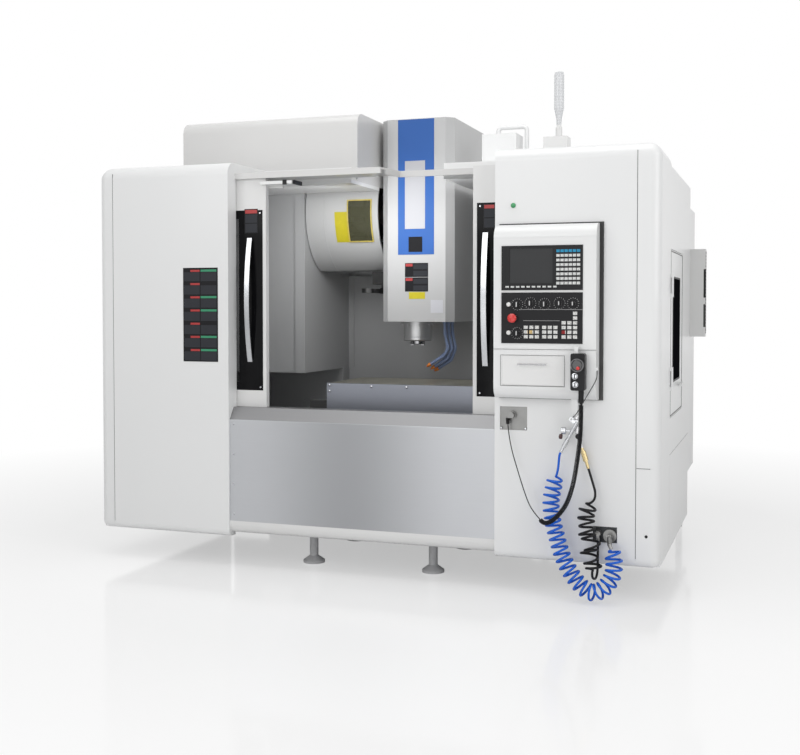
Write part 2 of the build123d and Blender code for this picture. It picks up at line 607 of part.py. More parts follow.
# splash apron screwed to the front of the table
apron_x0, apron_x1 = tx0 - 4, tx1 + 4
table_apron = block(apron_x0, apron_x1, table_front_y - 6, table_front_y, table_top - table_apron_height, table_top)
for s, x in ((-1, apron_x0), (1, apron_x1 - 4)):
    table_apron += block(x, x + 4, table_front_y, table_front_y + 60, table_bottom, table_top)
for x, z in ((tx0 + 14, table_top - 12), (tx0 + 14, table_top - 46), (x_parked - 330, table_top - 14),
             (x_parked - 120, table_top - 14), (x_parked + 330, table_top - 14), (tx1 - 14, table_top - 12),
             (x_parked - 450, table_top - 165), (x_parked + 450, table_top - 165)):
    table_apron += rod((x, table_front_y - 6, z), (0, -1, 0), 8, 3)
nodes["table_apron"] = table_apron

# headstock: spindle barrel, arm and the carriage that clasps the column ways
barrel_radius = 112.0
head_arm_half = 120.0
headstock = rod((0, spindle_y, head_cover_bottom + cover_wall), (0, 0, 1), barrel_radius, 560)
headstock += block(-head_arm_half, head_arm_half, spindle_y, carriage_y0, 1365, 1800)
headstock -= block(-head_arm_half + 34, head_arm_half - 34, spindle_y + barrel_radius + 30, carriage_y0 - 40, 1400, 1805)
way_front_y = column_front_y - z_way_thick
headstock += block(-carriage_half, carriage_half, carriage_y0, way_front_y - running_gap, 1365, 2000)
for s in (-1, 1):
    for a, b in ((z_way_x + z_way_width / 2 + running_gap, carriage_half), (60, z_way_x - z_way_width / 2 - running_gap)):
        headstock += block(*sorted((s * a, s * b)), carriage_y0 + 5, column_front_y - 6, 1365, 2000)
headstock -= rod((0, spindle_y, head_cover_bottom - 5), (0, 0, 1), spindle_nose_radius + 12, 330)
motor_base_z = head_cover_bottom + cover_wall + 560
headstock += rod((0, spindle_y, motor_base_z), (0, 0, 1), 70, 60)
headstock += block(-105, 105, spindle_y - 105, spindle_y + 105, motor_base_z + 60, motor_base_z + 420)
headstock += rod((0, spindle_y, motor_base_z + 420), (0, 0, 1), 88, 70)
nodes["headstock"] = headstock

# folded cover around the headstock, chamfered at its two front corners
cover_plan = [(head_cover_left, head_cover_front_y + head_chamfer), (head_cover_left + head_chamfer, head_cover_front_y),
              (head_cover_right - head_chamfer, head_cover_front_y),
              (head_cover_right, head_cover_front_y + head_chamfer),
              (head_cover_right, head_cover_back_y), (head_cover_left, head_cover_back_y)]
w = cover_wall
inner_plan = [(head_cover_left + w, head_cover_front_y + head_chamfer + w * 0.4),
              (head_cover_left + head_chamfer + w * 0.4, head_cover_front_y + w),
              (head_cover_right - head_chamfer - w * 0.4, head_cover_front_y + w),
              (head_cover_right - w, head_cover_front_y + head_chamfer + w * 0.4),
              (head_cover_right - w, head_cover_back_y + 5), (head_cover_left + w, head_cover_back_y + 5)]
head_cover = bar(cover_plan, Plane.XY.offset(head_cover_bottom), head_cover_top - head_cover_bottom)
head_cover -= bar(inner_plan, Plane.XY.offset(head_cover_bottom + w), head_cover_top - head_cover_bottom - 2 * w)
head_cover -= rod((0, spindle_y, head_cover_bottom - 5), (0, 0, 1), bolt_ring_radius - 10, 20)
# grille of the motor fan in the top of the cover
for k in range(6):
    y = spindle_y - 60 + 24 * k
    head_cover -= block(-70, 70, y, y + 10, head_cover_top - 10, head_cover_top + 5)
nodes["head_cover"] = head_cover

# spindle cartridge: bolted flange, nose barrel and bearing sleeve
sleeve_radius = spindle_nose_radius + 12 - 0.05
flange_z = head_cover_bottom - 18
cartridge_line = [(spindle_nose_radius + 0.05, cartridge_bottom + 2), (70, cartridge_bottom),
                  (cartridge_radius - 6, cartridge_bottom), (cartridge_radius, cartridge_bottom + 6),
                  (cartridge_radius, cartridge_bottom + 22), (cartridge_radius - 2, cartridge_bottom + 24),
                  (cartridge_radius, cartridge_bottom + 26), (cartridge_radius, flange_z),
                  (bolt_ring_radius, flange_z), (bolt_ring_radius, head_cover_bottom),
                  (bolt_ring_radius - 11, head_cover_bottom), (bolt_ring_radius - 11, head_cover_bottom + w),
                  (sleeve_radius, head_cover_bottom + w), (sleeve_radius, head_cover_bottom + 310),
                  (spindle_nose_radius + 0.05, head_cover_bottom + 310)]
cartridge = revolve(Plane.XZ * make_face(Polyline(*cartridge_line, close=True)), Axis.Z)
cartridge = Pos(0, spindle_y, 0) * cartridge
bolt_count = 8
for k in range(bolt_count):
    angle = 2 * math.pi * (k + 0.5) / bolt_count
    bx, by = 92 * math.cos(angle), spindle_y + 92 * math.sin(angle)
    cartridge += rod((bx, by, flange_z), (0, 0, -1), 6, 6)
nodes["spindle_cartridge"] = cartridge

# spindle shaft with its steep taper, drawbar bore and two drive keys
taper_top_radius = taper_mouth_radius - taper_depth * 7 / 48
shaft_line = [(taper_mouth_radius, spindle_nose_bottom), (spindle_nose_radius - 3, spindle_nose_bottom),
              (spindle_nose_radius, spindle_nose_bottom + 3), (spindle_nose_radius, head_cover_bottom + 320),
              (bore_radius, head_cover_bottom + 320), (bore_radius, spindle_nose_bottom + taper_depth + 10),
              (taper_top_radius, spindle_nose_bottom + taper_depth)]
shaft = revolve(Plane.XZ * make_face(Polyline(*shaft_line, close=True)), Axis.Z)
shaft = Pos(0, spindle_y, 0) * shaft
key_width, key_height = 15.9, 8.0
for s in (-1, 1):
    shaft += block(*sorted((s * (taper_mouth_radius + 2), s * (spindle_nose_radius - 2))), spindle_y - key_width / 2,
                   spindle_y + key_width / 2, spindle_nose_bottom - key_height, spindle_nose_bottom + 1)
nodes["spindle_shaft"] = shaft

# adjustable coolant pipes beside the nose
nozzle_radius = 9.0
pipe_tips = ((100, spindle_y - 70, 1050), (118, spindle_y - 45, 1034), (133, spindle_y - 20, 1022))
pipes = []
for k, tip in enumerate(pipe_tips):
    x0, y0 = 196 + 15 * k, spindle_y - 72 + 26 * k
    line = FilletPolyline((x0, y0, head_cover_bottom), (x0, y0, head_cover_bottom - 70),
                          (x0 + 22, y0, head_cover_bottom - 160), (x0 - 6, y0 + 1, tip[2] + 54), tip, radius=40)
    pipe = sweep(Plane(origin=line @ 0, z_dir=line % 0) * Circle(nozzle_radius), line)
    pipe += rod((x0, y0, head_cover_bottom), (0, 0, -1), 13, 12)
    end_dir = line % 1
    cone = Plane(origin=line @ 1, z_dir=end_dir)
    pipe += extrude(cone * Circle(nozzle_radius - 1), 26, taper=9)
    pipes.append(pipe.solid())
nodes["coolant_nozzles"] = Compound(pipes)

# sheet that closes the column slot and travels with the headstock
sheet_y = fixed_cover_y + thin_sheet + 8
z_sheet = block(-z_sheet_half, z_sheet_half, sheet_y, sheet_y + thin_sheet, z_sheet_bottom, head_cover_top)
z_sheet -= block(-head_arm_half, head_arm_half, sheet_y - 5, sheet_y + 10, 1365, 1800)
for s in (-1, 1):
    z_sheet += block(*sorted((s * z_sheet_half, s * (z_sheet_half - thin_sheet))), sheet_y, sheet_y + 16,
                     z_sheet_bottom, head_cover_top)
nodes["z_cover_sheet"] = z_sheet

# magazine drum cover: rolled sheet with a flat belly, a rim ring and an inspection window
def drum_slice(x0, x1, radius, flat):
    """Disc section across the machine, cut flat below."""
    d = rod((x0, drum_y, drum_z), (1, 0, 0), radius, x1 - x0)
    return d - block(x0 - 5, x1 + 5, drum_y - radius - 5, drum_y + radius + 5, drum_z - radius - 5, flat)


drum = drum_slice(drum_left, drum_right, drum_radius, drum_flat_z)
drum -= drum_slice(drum_left + thin_sheet, drum_right + 5, drum_radius - thin_sheet, drum_flat_z + thin_sheet)
rim = drum_slice(drum_right - 12, drum_right, drum_radius + 9, drum_flat_z - 9)
rim -= drum_slice(drum_right - 20, drum_right + 5, drum_radius - 1, drum_flat_z + 1)
drum += rim
band = drum_slice(drum_seam_x - 3, drum_seam_x + 3, drum_radius + 2, drum_flat_z - 2)
band -= drum_slice(drum_seam_x - 10, drum_seam_x + 10, drum_radius - 1, drum_flat_z + 1)
drum += band
window_x0, window_x1 = -421.0, -272.0
window_z0, window_z1 = 1805.0, 2051.0
drum -= block(window_x0, window_x1, drum_y - drum_radius - 20, drum_y, window_z0, window_z1)
gate = (-520.0, -300.0, drum_y - 150.0, drum_y + 40.0)
drum -= block(*gate, drum_flat_z - 5, drum_flat_z + 10)
nodes["magazine_cover"] = drum
pane = drum_slice(window_x0 - 6, window_x1 + 6, drum_radius + 5, drum_flat_z)
pane -= drum_slice(window_x0 - 10, window_x1 + 10, drum_radius, drum_flat_z - 5)
pane &= block(window_x0 - 6, window_x1 + 6, drum_y - drum_radius - 20, drum_y - 200, window_z0 - 6, window_z1 + 6)
nodes["magazine_window"] = pane

# big rounded hood on the roof over the magazine
hood_left, hood_right, hood_front_y, hood_back_y = -half + 226, -205.0, 558.0, bay_back - 10
hood_top, hood_round = 2517.0, 70.0
hood = block(hood_left, hood_right, hood_front_y, hood_back_y, roof_z, hood_top)
hood = fillet([e for e in hood.edges() if abs(e.center().Y - hood_front_y) < 1
               and abs(e.center().Z - hood_top) < 1], hood_round)
hollow = block(hood_left + thin_sheet, hood_right - thin_sheet, hood_front_y + thin_sheet, hood_back_y - thin_sheet,
               roof_z - 5, hood_top - thin_sheet)
hollow = fillet([e for e in hollow.edges() if abs(e.center().Y - hood_front_y - thin_sheet) < 1
                 and abs(e.center().Z - hood_top + thin_sheet) < 1], hood_round - thin_sheet)
hood_notch = block(-column_top_half - 4, hood_right + 5, column_front_y - 4, hood_back_y + 5, roof_z - 5, hood_top + 5)
nodes["magazine_hood"] = hood - hollow - hood_notch

# tool disc: hub, plate and a ring of tool pots
disc_plate_x, pot_x0, pot_x1 = -345.0, -470.0, -352.0
pot_radius, pot_bore = 33.0, 22.5
disc = rod((disc_plate_x - 12, drum_y, drum_z), (1, 0, 0), pot_circle - 15, 12)
for k in range(6):
    a = math.pi / 3 * (k + 0.5)
    disc -= rod((disc_plate_x - 20, drum_y + 190 * math.cos(a), drum_z + 190 * math.sin(a)), (1, 0, 0), 62, 30)
disc += rod((disc_plate_x - 30, drum_y, drum_z), (1, 0, 0), 60, 80)
disc -= rod((disc_plate_x - 60, drum_y, drum_z), (1, 0, 0), disc_shaft_radius + 0.05, 160)
for k in range(pot_count):
    a = 2 * math.pi * k / pot_count
    y, z = drum_y + pot_circle * math.cos(a), drum_z + pot_circle * math.sin(a)
    disc += rod((pot_x0, y, z), (1, 0, 0), pot_radius, pot_x1 - pot_x0)
    disc += rod((disc_plate_x - 14, y, z), (1, 0, 0), 24, 14)
for k in range(pot_count):
    a = 2 * math.pi * k / pot_count
    y, z = drum_y + pot_circle * math.cos(a), drum_z + pot_circle * math.sin(a)
    disc -= rod((pot_x0 - 5, y, z), (1, 0, 0), pot_bore, 70)
nodes["tool_disc"] = disc

# changer frame: plate on the column flank, disc shaft and the cam gearbox that carries the arm
changer = block(drum_right, -column_top_half, drum_y - 280, 1755, column_shoulder_z + 4, 2240)
changer += block(drum_right, -column_top_half, drum_y - 250, 1650, 1560, column_shoulder_z + 4)
changer += block(arm_x - 68, drum_right + 6, arm_y - 67, arm_y + 73, gearbox_bottom, drum_flat_z - 9)
changer -= rod((arm_x, arm_y, gearbox_bottom - 5), (0, 0, 1), arm_shaft_radius + running_gap, 70)
changer += rod((disc_plate_x - 40, drum_y, drum_z), (1, 0, 0), disc_shaft_radius, drum_right - disc_plate_x + 45)
changer += rod((disc_plate_x - 46, drum_y, drum_z), (1, 0, 0), 45, 15)
changer += rod((drum_right - 30, drum_y, drum_z), (1, 0, 0), 70, 35)
nodes["changer_frame"] = changer

# tool change arm: vertical shaft and a double-ended fork, parked beside the head cover
arm = rod((arm_x, arm_y, arm_z), (0, 0, 1), arm_shaft_radius, gearbox_bottom + 60 - arm_z)
arm += rod((arm_x, arm_y, arm_z - 4), (0, 0, 1), 40, arm_thick + 12)
arm_line = [(-22, -arm_half_length + 50), (22, -arm_half_length + 50), (32, 0), (22, arm_half_length - 50),
            (-22, arm_half_length - 50), (-32, 0)]
arm += bar([(arm_x + a, arm_y + b) for a, b in arm_line], Plane.XY.offset(arm_z), arm_thick)
for s in (-1, 1):
    fork_y = arm_y + s * arm_half_length
    fork = rod((arm_x, fork_y, arm_z), (0, 0, 1), 52, arm_thick) & block(
        arm_x - 32, arm_x + 32, fork_y - 52, fork_y + 52, arm_z - 1, arm_z + arm_thick + 1)
    arm += fork
    arm -= rod((arm_x, fork_y, arm_z - 5), (0, 0, 1), 31.75, arm_thick + 10)
    arm -= block(arm_x - 24, arm_x + 60, fork_y - 24, fork_y + 24, arm_z - 5, arm_z + arm_thick + 5)
nodes["change_arm"] = arm.solids().sort_by(SortBy.VOLUME)[-1]

# electrical cabinet on the back skin, with its cooling unit facing the right side
cab_x0, cab_x1, cab_y0, cab_y1 = bay_right + 40, half - 10, enclosure_depth, enclosure_depth + 459
cab_z0, cab_z1 = 380.0, 2010.0
cabinet_box = block(cab_x0, cab_x1, cab_y0, cab_y1, cab_z0, cab_z1)
cabinet_box -= block(cab_x0 + sheet, cab_x1 - sheet, cab_y0 + sheet, cab_y1 - sheet, cab_z0 + sheet, cab_z1 - sheet)
frame_out = block(cab_x0 + 18, cab_x1 - 18, cab_y1 - 3, cab_y1 + 5, cab_z0 + 18, cab_z1 - 18)
frame_in = block(cab_x0 + 22, cab_x1 - 22, cab_y1 - 4, cab_y1 + 6, cab_z0 + 22, cab_z1 - 22)
cabinet_box -= frame_out - frame_in
for k in range(8):
    z = cab_z0 + 120 + 30 * k
    cabinet_box -= block(cab_x0 + 300, cab_x1 - 300, cab_y1 - sheet - 5, cab_y1 + 5, z, z + 10)
cabinet_box += rod((cab_x0 + 70, cab_y1, 1220), (0, 1, 0), 20, 12)
cabinet_box += block(cab_x0 + 62, cab_x0 + 78, cab_y1 + 12, cab_y1 + 28, 1150, 1240)
for x in (cab_x0 + 60, cab_x1 - 100):
    cabinet_box += block(x, x + 40, cab_y1 - 80, cab_y1 - 40, floor_z, cab_z0)
nodes["electrical_cabinet"] = cabinet_box
cooler_x1, cooler_y0, cooler_y1, cooler_z0, cooler_z1 = cab_x1 + 99, cab_y0 + 49, cab_y0 + 121, 1216.0, 1754.0
cooler = block(cab_x1, cooler_x1, cooler_y0, cooler_y1, cooler_z0, cooler_z1)
cooler -= block(cooler_x1 - 9, cooler_x1 + 5, cooler_y0 - 5, cooler_y0 + 30, 1455, 1630)
cooler -= block(cooler_x1 - 8, cooler_x1 + 5, cooler_y0 + 12, cooler_y1 - 12, 1275, 1415)
nodes["cabinet_cooler"] = cooler

# coolant tank behind the machine with its immersion pump
tank_x0, tank_x1, tank_y0, tank_y1, tank_top = -half + 190, -base_half_width, bay_back + 25, bay_back + 495, 360.0
tank = block(tank_x0, tank_x1, tank_y0, tank_y1, floor_z + 60, tank_top)
tank -= block(tank_x0 + 6, tank_x1 - 6, tank_y0 + 6, tank_y1 - 6, floor_z + 66, tank_top - 6)
tank -= block(tank_x0 + 300, tank_x0 + 600, tank_y0 + 120, tank_y1 - 120, tank_top - 10, tank_top + 5)
for x in (tank_x0 + 70, tank_x1 - 70):
    for y in (tank_y0 + 70, tank_y1 - 70):
        tank += rod((x, y, floor_z), (0, 0, 1), 28, 60)
tank += rod((tank_x0 + 150, tank_y0 + 235, tank_top), (0, 0, 1), 105, 20)
tank += rod((tank_x0 + 150, tank_y0 + 235, tank_top + 20), (0, 0, 1), 72, 210)
tank += rod((tank_x0 + 150, tank_y0 + 235, tank_top + 230), (0, 0, 1), 78, 40)
nodes["coolant_tank"] = tank

# signal tower on the right cabinet
tower_x, tower_y, tower_half = 1006.0, 300.0, 62.0
tower_line = [(0, 0), (17, 0), (17, 50), (12, 54), (12, 60), (15, 98), (26, 150), (26, 318), (22, 334), (0, 336)]
tower = block(tower_x - tower_half, tower_x + tower_half, tower_y - 50, tower_y + 50, cabinet_top_z, cabinet_top_z + 84)
tower += Pos(tower_x + 10, tower_y, cabinet_top_z + 84) * revolve(Plane.XZ * make_face(Polyline(*tower_line, close=True)), Axis.Z)
nodes["tower_light"] = tower


def door(edge, s, name, pull_inset):
    """Sliding door with its glossy pane and bowed pull handle; s is +1 for the left door."""
    x0, x1 = sorted((edge, edge - s * door_width))
    y0, y1 = door_face_y, door_face_y + door_thickness
    pane_a = edge - s * door_rim
    pane_b = edge - s * (door_width - 60)
    px0, px1 = sorted((pane_a, pane_b))
    leaf = block(x0, x1, y0, y1, ledge_height + door_bottom_gap, door_top)
    leaf -= block(px0, px1, y0 - 5, y0 + pane_thickness + 1, pane_bottom, pane_top)
    wx0, wx1 = sorted((edge - s * (door_rim + strip_width), edge - s * (door_width - 90)))
    leaf -= block(wx0, wx1, y0 - 5, y1 + 5, pane_bottom + 45, pane_top - 45)
    for hx in (x0 + 90, x1 - 130) if s > 0 else (x0 + 180, x1 - 130):
        leaf += block(hx, hx + 40, y0 + 8, y1 - 8, door_top, rail_top - thin_sheet - running_gap)
    if s > 0:
        leaf += block(edge - 60, edge, y1, y1 + 26, 2052, 2090) + block(edge, edge + 84, y1 + 3, y1 + 26, 2052, 2090)
    pane = block(px0 + 0.3, px1 - 0.3, y0 + 1, y0 + pane_thickness + 1, pane_bottom + 0.3, pane_top - 0.3)
    pull_x = edge - s * pull_inset
    foot = y0 + 1
    mid = (handle_bottom + handle_top) / 2
    outer = ThreePointArc((foot - 12, handle_bottom), (foot - handle_stand, mid), (foot - 12, handle_top))
    inner = ThreePointArc((foot - 4, handle_top - 12), (foot - handle_stand + 12, mid), (foot - 4, handle_bottom + 12))
    top_end = Polyline((foot - 12, handle_top), (foot, handle_top), (foot, handle_top - 12), (foot - 4, handle_top - 12))
    low_end = Polyline((foot - 4, handle_bottom + 12), (foot, handle_bottom + 12), (foot, handle_bottom),
                       (foot - 12, handle_bottom))
    pull = extrude(side_plane(pull_x - handle_width / 2) * outline(outer, top_end, inner, low_end), handle_width)
    nodes[name + "_door"] = leaf
    nodes[name + "_door_pane"] = pane
    nodes[name + "_door_handle"] = pull


door(left_door_edge, 1, "left", 95.0)
door(right_door_edge, -1, "right", 68.0)

# swing console: rounded box on two pin hinges, with pockets for its panels and its flap
console_right = console_left + console_width
box_line = Polyline((console_back_y - running_gap, console_bottom), (console_front_y + 55, console_bottom))
box_low = ThreePointArc((console_front_y + 55, console_bottom), (console_front_y + 16, console_bottom + 18),
                        (console_front_y, console_bottom + 60))
box_front = Line((console_front_y, console_bottom + 60), (console_front_y, console_top - console_round))
box_high = ThreePointArc((console_front_y, console_top - console_round), (console_front_y + 20, console_top - 20),
                         (console_front_y + 68, console_top))
box_back = Polyline((console_front_y + 68, console_top), (console_back_y - running_gap, console_top),
                    (console_back_y - running_gap, console_bottom))
console = extrude(side_plane(console_left) * outline(box_line, box_low, box_front, box_high, box_back), console_width)
panel_x0, panel_x1 = console_left + panel_left_inset, console_left + panel_left_inset + panel_width
display_top = display_bottom + display_height
operator_top = operator_bottom + operator_height
console -= block(panel_x0, panel_x1, console_front_y - 5, console_front_y + 40, display_bottom, display_top)
console -= block(panel_x0, panel_x1, console_front_y - 5, console_front_y + 5, operator_bottom, operator_top)
console -= block(panel_x0 + 12, panel_x1 - 12, console_front_y, console_front_y + 42, operator_bottom + 12, operator_top - 12)
for line_z in (operator_bottom - 30, console_top - console_round + 2):
    console -= block(console_left - 5, console_right + 5, console_front_y - 5, console_front_y + 1.5, line_z, line_z + 2)
flap_x0, flap_x1 = console_left + 44, console_left + 44 + flap_width
flap_top = flap_bottom + flap_height
console -= block(flap_x0, flap_x1, console_front_y - 5, console_front_y + flap_thickness, flap_bottom, flap_top)
console -= block(flap_x0 + 12, flap_x1 - 12, console_front_y + 5, console_front_y + 60, flap_bottom + 12, flap_top - 8)
flap_axis_y, flap_axis_z = console_front_y + flap_thickness / 2, flap_bottom + flap_thickness / 2 + running_gap
for x in (flap_x0 - 8, flap_x1 - 1):
    console -= rod((x, flap_axis_y, flap_axis_z), (1, 0, 0), 1.8 + running_gap, 9)
hinge_axis_x, hinge_axis_y = console_left - 5, console_back_y - 6
pin_radius = 2.5
for hz in (console_bottom + 60, console_top - 190):
    console += rod((hinge_axis_x, hinge_axis_y, hz), (0, 0, 1), 6, 60)
    console -= rod((hinge_axis_x, hinge_axis_y, hz - 1), (0, 0, 1), pin_radius + running_gap, 62)
    right_cabinet += rod((hinge_axis_x, hinge_axis_y, hz - 10), (0, 0, 1), pin_radius, 80)
    for ez in (hz - 10, hz + 60 + running_gap):
        right_cabinet += rod((hinge_axis_x, hinge_axis_y, ez), (0, 0, 1), 4.7, 9.7)
        right_cabinet += block(hinge_axis_x - 4.7, hinge_axis_x + 4.7, hinge_axis_y, 0, ez, ez + 9.7)
# seal frame on the cabinet behind the console
seal = block(console_left + 4, console_right + 20, console_back_y, 0, console_bottom - 5, console_top + 8)
right_cabinet += seal
# pendant hook and lanyard eye
hook_x = 1191.0
pendant_y0, pendant_y1, pendant_z0, pendant_z1 = -160.0, -113.0, 999.0, 1176.0
console += block(hook_x - 9, hook_x + 9, pendant_y0 + 22, console_front_y, pendant_z1 + 20, pendant_z1 + 34)
console += block(hook_x - 9, hook_x + 9, pendant_y0 + 16, pendant_y0 + 28, pendant_z1, pendant_z1 + 34)
console += block(console_right, console_right + 9, -101, -89, 1094, 1108)
# hook plate of the two guns; each ring hangs with its bore on a pin
hook_y, ring_bore = -48.0, 6.0
air_hook_x, coolant_hook_x, air_ring_z, coolant_ring_z = 1155.0, 1173.0, 852.0, 868.0
air_hook_z, coolant_hook_z = air_ring_z + ring_bore - 2.5, coolant_ring_z + ring_bore - 2.5
console += block(air_hook_x - 5, coolant_hook_x + 9, hook_y, hook_y + 6, console_bottom - 64, console_bottom)
console += block(air_hook_x - 5, air_hook_x + 5, hook_y, hook_y + 6, air_hook_z - 5, console_bottom - 58)
console += block(coolant_hook_x - 4, coolant_hook_x + 9, hook_y, hook_y + 6, coolant_hook_z - 5, console_bottom - 58)
console += rod((air_hook_x, hook_y, air_hook_z), (0, -1, 0), 2.5, 22)
console += rod((air_hook_x, hook_y - 19, air_hook_z), (0, -1, 0), 4, 3)
console += rod((coolant_hook_x, hook_y + 6, coolant_hook_z), (0, 1, 0), 2.5, 20)
nodes["console_housing"] = console
nodes["right_cabinet"] = right_cabinet

# display unit: bezel, screen recess, keypad and soft keys
face_y = console_front_y - panel_proud
screen = (856.0, 1069.0, 1513.0, 1681.0)
display = block(panel_x0 + 0.3, panel_x1 - 0.3, face_y, console_front_y + 40, display_bottom + 0.3, display_top - 0.3)
display -= block(screen[0], screen[1], face_y - 5, face_y + 3, screen[2], screen[3])
key, key_rise = 13.0, 1.2
for row in range(8):
    for col in range(6):
        kx, kz = 1087 + 19.8 * col, 1668 - 22.2 * row
        display += block(kx, kx + key + 3, face_y - key_rise, face_y, kz - key / 2, kz + key / 2)
for k in range(10):
    kx = 836 + 26.2 * k
    display += block(kx, kx + 17, face_y - key_rise, face_y, 1492, 1500)
nodes["display_unit"] = display

# operator panel with membrane keys and the six rotary switches
operator = block(panel_x0 + 0.3, panel_x1 - 0.3, face_y, console_front_y + 5, operator_bottom + 0.3, operator_top - 0.3)
key_cells = [(col, row) for col in range(3) for row in range(3)]
key_cells += [(col, row) for col in (4, 5, 6) for row in range(3)]
key_cells += [(col, row) for col in (8, 9, 10) for row in range(3)]
key_cells += [(8, 3), (9, 3), (10, 3), (10, 4), (10, 5)]
for col, row in key_cells:
    group = col // 4
    kx = (931, 1022, 1117)[group] + 27.5 * (col - 4 * group)
    kz = 1253 + 22.8 * row
    operator += block(kx - 3, kx + 17, face_y - key_rise, face_y, kz - 8, kz + 8)
knob_places = ((895, 1410, 15), (960, 1416, 14), (1030, 1412, 14), (1103, 1416, 12), (1169, 1414, 12), (895, 1270, 13))
for kx, kz, kr in knob_places:
    operator += rod((kx, face_y, kz), (0, -1, 0), kr, 6)
    operator += rod((kx, face_y - 6, kz), (0, -1, 0), kr - 4, 12)
    operator += block(kx - 2.5, kx + 2.5, face_y - 22, face_y - 6, kz - kr + 3, kz + kr - 3)
stop_x, stop_z = 874.0, 1343.0
button_x, start_z, hold_z = 853.0, 1410.0, 1272.0
stem_radius, button_radius = 11.0, 10.5
operator += rod((stop_x, face_y, stop_z), (0, -1, 0), 19, 4)
operator -= rod((stop_x, face_y + 15, stop_z), (0, -1, 0), stem_radius + running_gap, 30)
for bz in (start_z, hold_z):
    operator += rod((button_x, face_y, bz), (0, -1, 0), 14, 4)
    operator -= rod((button_x, face_y + 15, bz), (0, -1, 0), button_radius + running_gap, 30)
nodes["operator_panel"] = operator
stop_line = [(0, -6), (stem_radius, -6), (stem_radius, 14), (17, 16), (22, 22), (22, 27), (17, 32), (0, 34)]
stop_face = Plane.XZ * make_face(Polyline(*stop_line, close=True))
nodes["emergency_stop"] = Pos(stop_x, face_y, stop_z) * Rot(90, 0, 0) * revolve(stop_face, Axis.Z)
button_line = [(0, -6), (button_radius, -6), (button_radius, 9), (button_radius - 2, 11), (0, 11)]
for name, bz in (("start_button", start_z), ("hold_button", hold_z)):
    button_face = Plane.XZ * make_face(Polyline(*button_line, close=True))
    nodes[name] = Pos(button_x, face_y, bz) * Rot(90, 0, 0) * revolve(button_face, Axis.Z)

# keyboard flap folding down on two pins, with its wire handle and the keys on its inner side
fx0, fx1 = flap_x0 + running_gap, flap_x1 - running_gap
back_y = console_front_y + flap_thickness
flap_low = ThreePointArc((console_front_y, flap_axis_z), (flap_axis_y, flap_axis_z - flap_thickness / 2), (back_y, flap_axis_z))
flap_high = Polyline((back_y, flap_axis_z), (back_y, flap_top - running_gap), (console_front_y, flap_top - running_gap),
                     (console_front_y, flap_axis_z))
flap = extrude(side_plane(fx0) * outline(flap_low, flap_high), fx1 - fx0)
flap += rod((flap_x0 - 6, flap_axis_y, flap_axis_z), (1, 0, 0), 1.8, flap_width + 12)
flap += block(flap_x0 + 26, flap_x1 - 26, back_y, back_y + 8, flap_axis_z + 24, flap_top - 24)
for row in range(4):
    kz = flap_axis_z + 32 + 21 * row
    flap += block(flap_x0 + 36, flap_x1 - 36, back_y + 8, back_y + 11, kz, kz + 14)
wire_z, wire_x0, wire_x1 = flap_top - 42.0, flap_x0 + 85.0, flap_x1 - 83.0
for x in (wire_x0, wire_x1):
    flap += rod((x, console_front_y, wire_z), (0, -1, 0), 3, 20)
flap += rod((wire_x0 - 4, console_front_y - 19, wire_z), (1, 0, 0), 3.4, wire_x1 - wire_x0 + 8)
nodes["keyboard_flap"] = flap

# hand pendant hanging on its hook, with its dial and its two selectors
pendant = block(1167, 1236, pendant_y0, pendant_y1, pendant_z0, pendant_z1)
pendant = fillet(pendant.edges().filter_by(Axis.Y), 10)
relief_x, relief_y, relief_z = 1214.5, -135.0, 932.0
pendant += rod((relief_x, relief_y, relief_z), (0, 0, 1), 8, pendant_z0 - relief_z)
pendant += rod((relief_x, relief_y, relief_z + 8), (0, 0, 1), 13, pendant_z0 - relief_z - 8)
dial_x, dial_z, dial_radius = 1202.0, 1121.0, 33.0
for x, z in ((1190, 1068), (1192, 1028)):
    pendant += rod((x, pendant_y0, z), (0, -1, 0), 11, 12)
    pendant += block(x - 2.5, x + 2.5, pendant_y0 - 17, pendant_y0 - 12, z - 10, z + 10)
pendant -= rod((dial_x, pendant_y0 + 12, dial_z), (0, -1, 0), 6 + running_gap, 20)
nodes["pendant"] = pendant
dial = rod((dial_x, pendant_y0 - running_gap, dial_z), (0, -1, 0), dial_radius, 5)
dial += rod((dial_x, pendant_y0 + 10, dial_z), (0, -1, 0), 6, 14)
dial += rod((dial_x, pendant_y0 - 5, dial_z), (0, -1, 0), 22, 13)
dial += rod((dial_x + 14, pendant_y0 - 15, dial_z + 12), (0, -1, 0), 4.5, 9)
nodes["pendant_dial"] = dial

# air blow gun and coolant gun on the hook bar under the console
gun_y = -64.0
gun_dir = Vector(1105 - 1183, 0, 692 - 839).normalized()
air_gun = rod((1183, gun_y, 839), gun_dir, 8, 100)
air_gun += rod((1183, gun_y, 839) + gun_dir * 100, gun_dir, 11, 40)
air_gun += rod((1183, gun_y, 839) + gun_dir * 140, gun_dir, 8, 29)
air_gun += rod((1150, gun_y, 795), (-1, 0, 0), 5, 34) + rod((1128, gun_y, 795), (-1, 0, 0), 17, 20)
air_gun += rod((air_hook_x, gun_y, air_ring_z), (0, 1, 0), 11, 12)
air_gun += block(1158, 1186, gun_y, gun_y + 8, 834, 848)
air_gun -= rod((air_hook_x, gun_y - 5, air_ring_z), (0, 1, 0), ring_bore, 30)
nodes["air_gun"] = air_gun
coolant_dir = Vector(1232 - 1172, 0, 615 - 800).normalized()
coolant_y = -30.0
coolant_top = Vector(1172, coolant_y, 800)
coolant_gun = rod(coolant_top, coolant_dir, 9, 60)
coolant_gun += rod(coolant_top + coolant_dir * 60, coolant_dir, 8, 60)
coolant_gun += rod(coolant_top + coolant_dir * 110, coolant_dir, 13, 50)
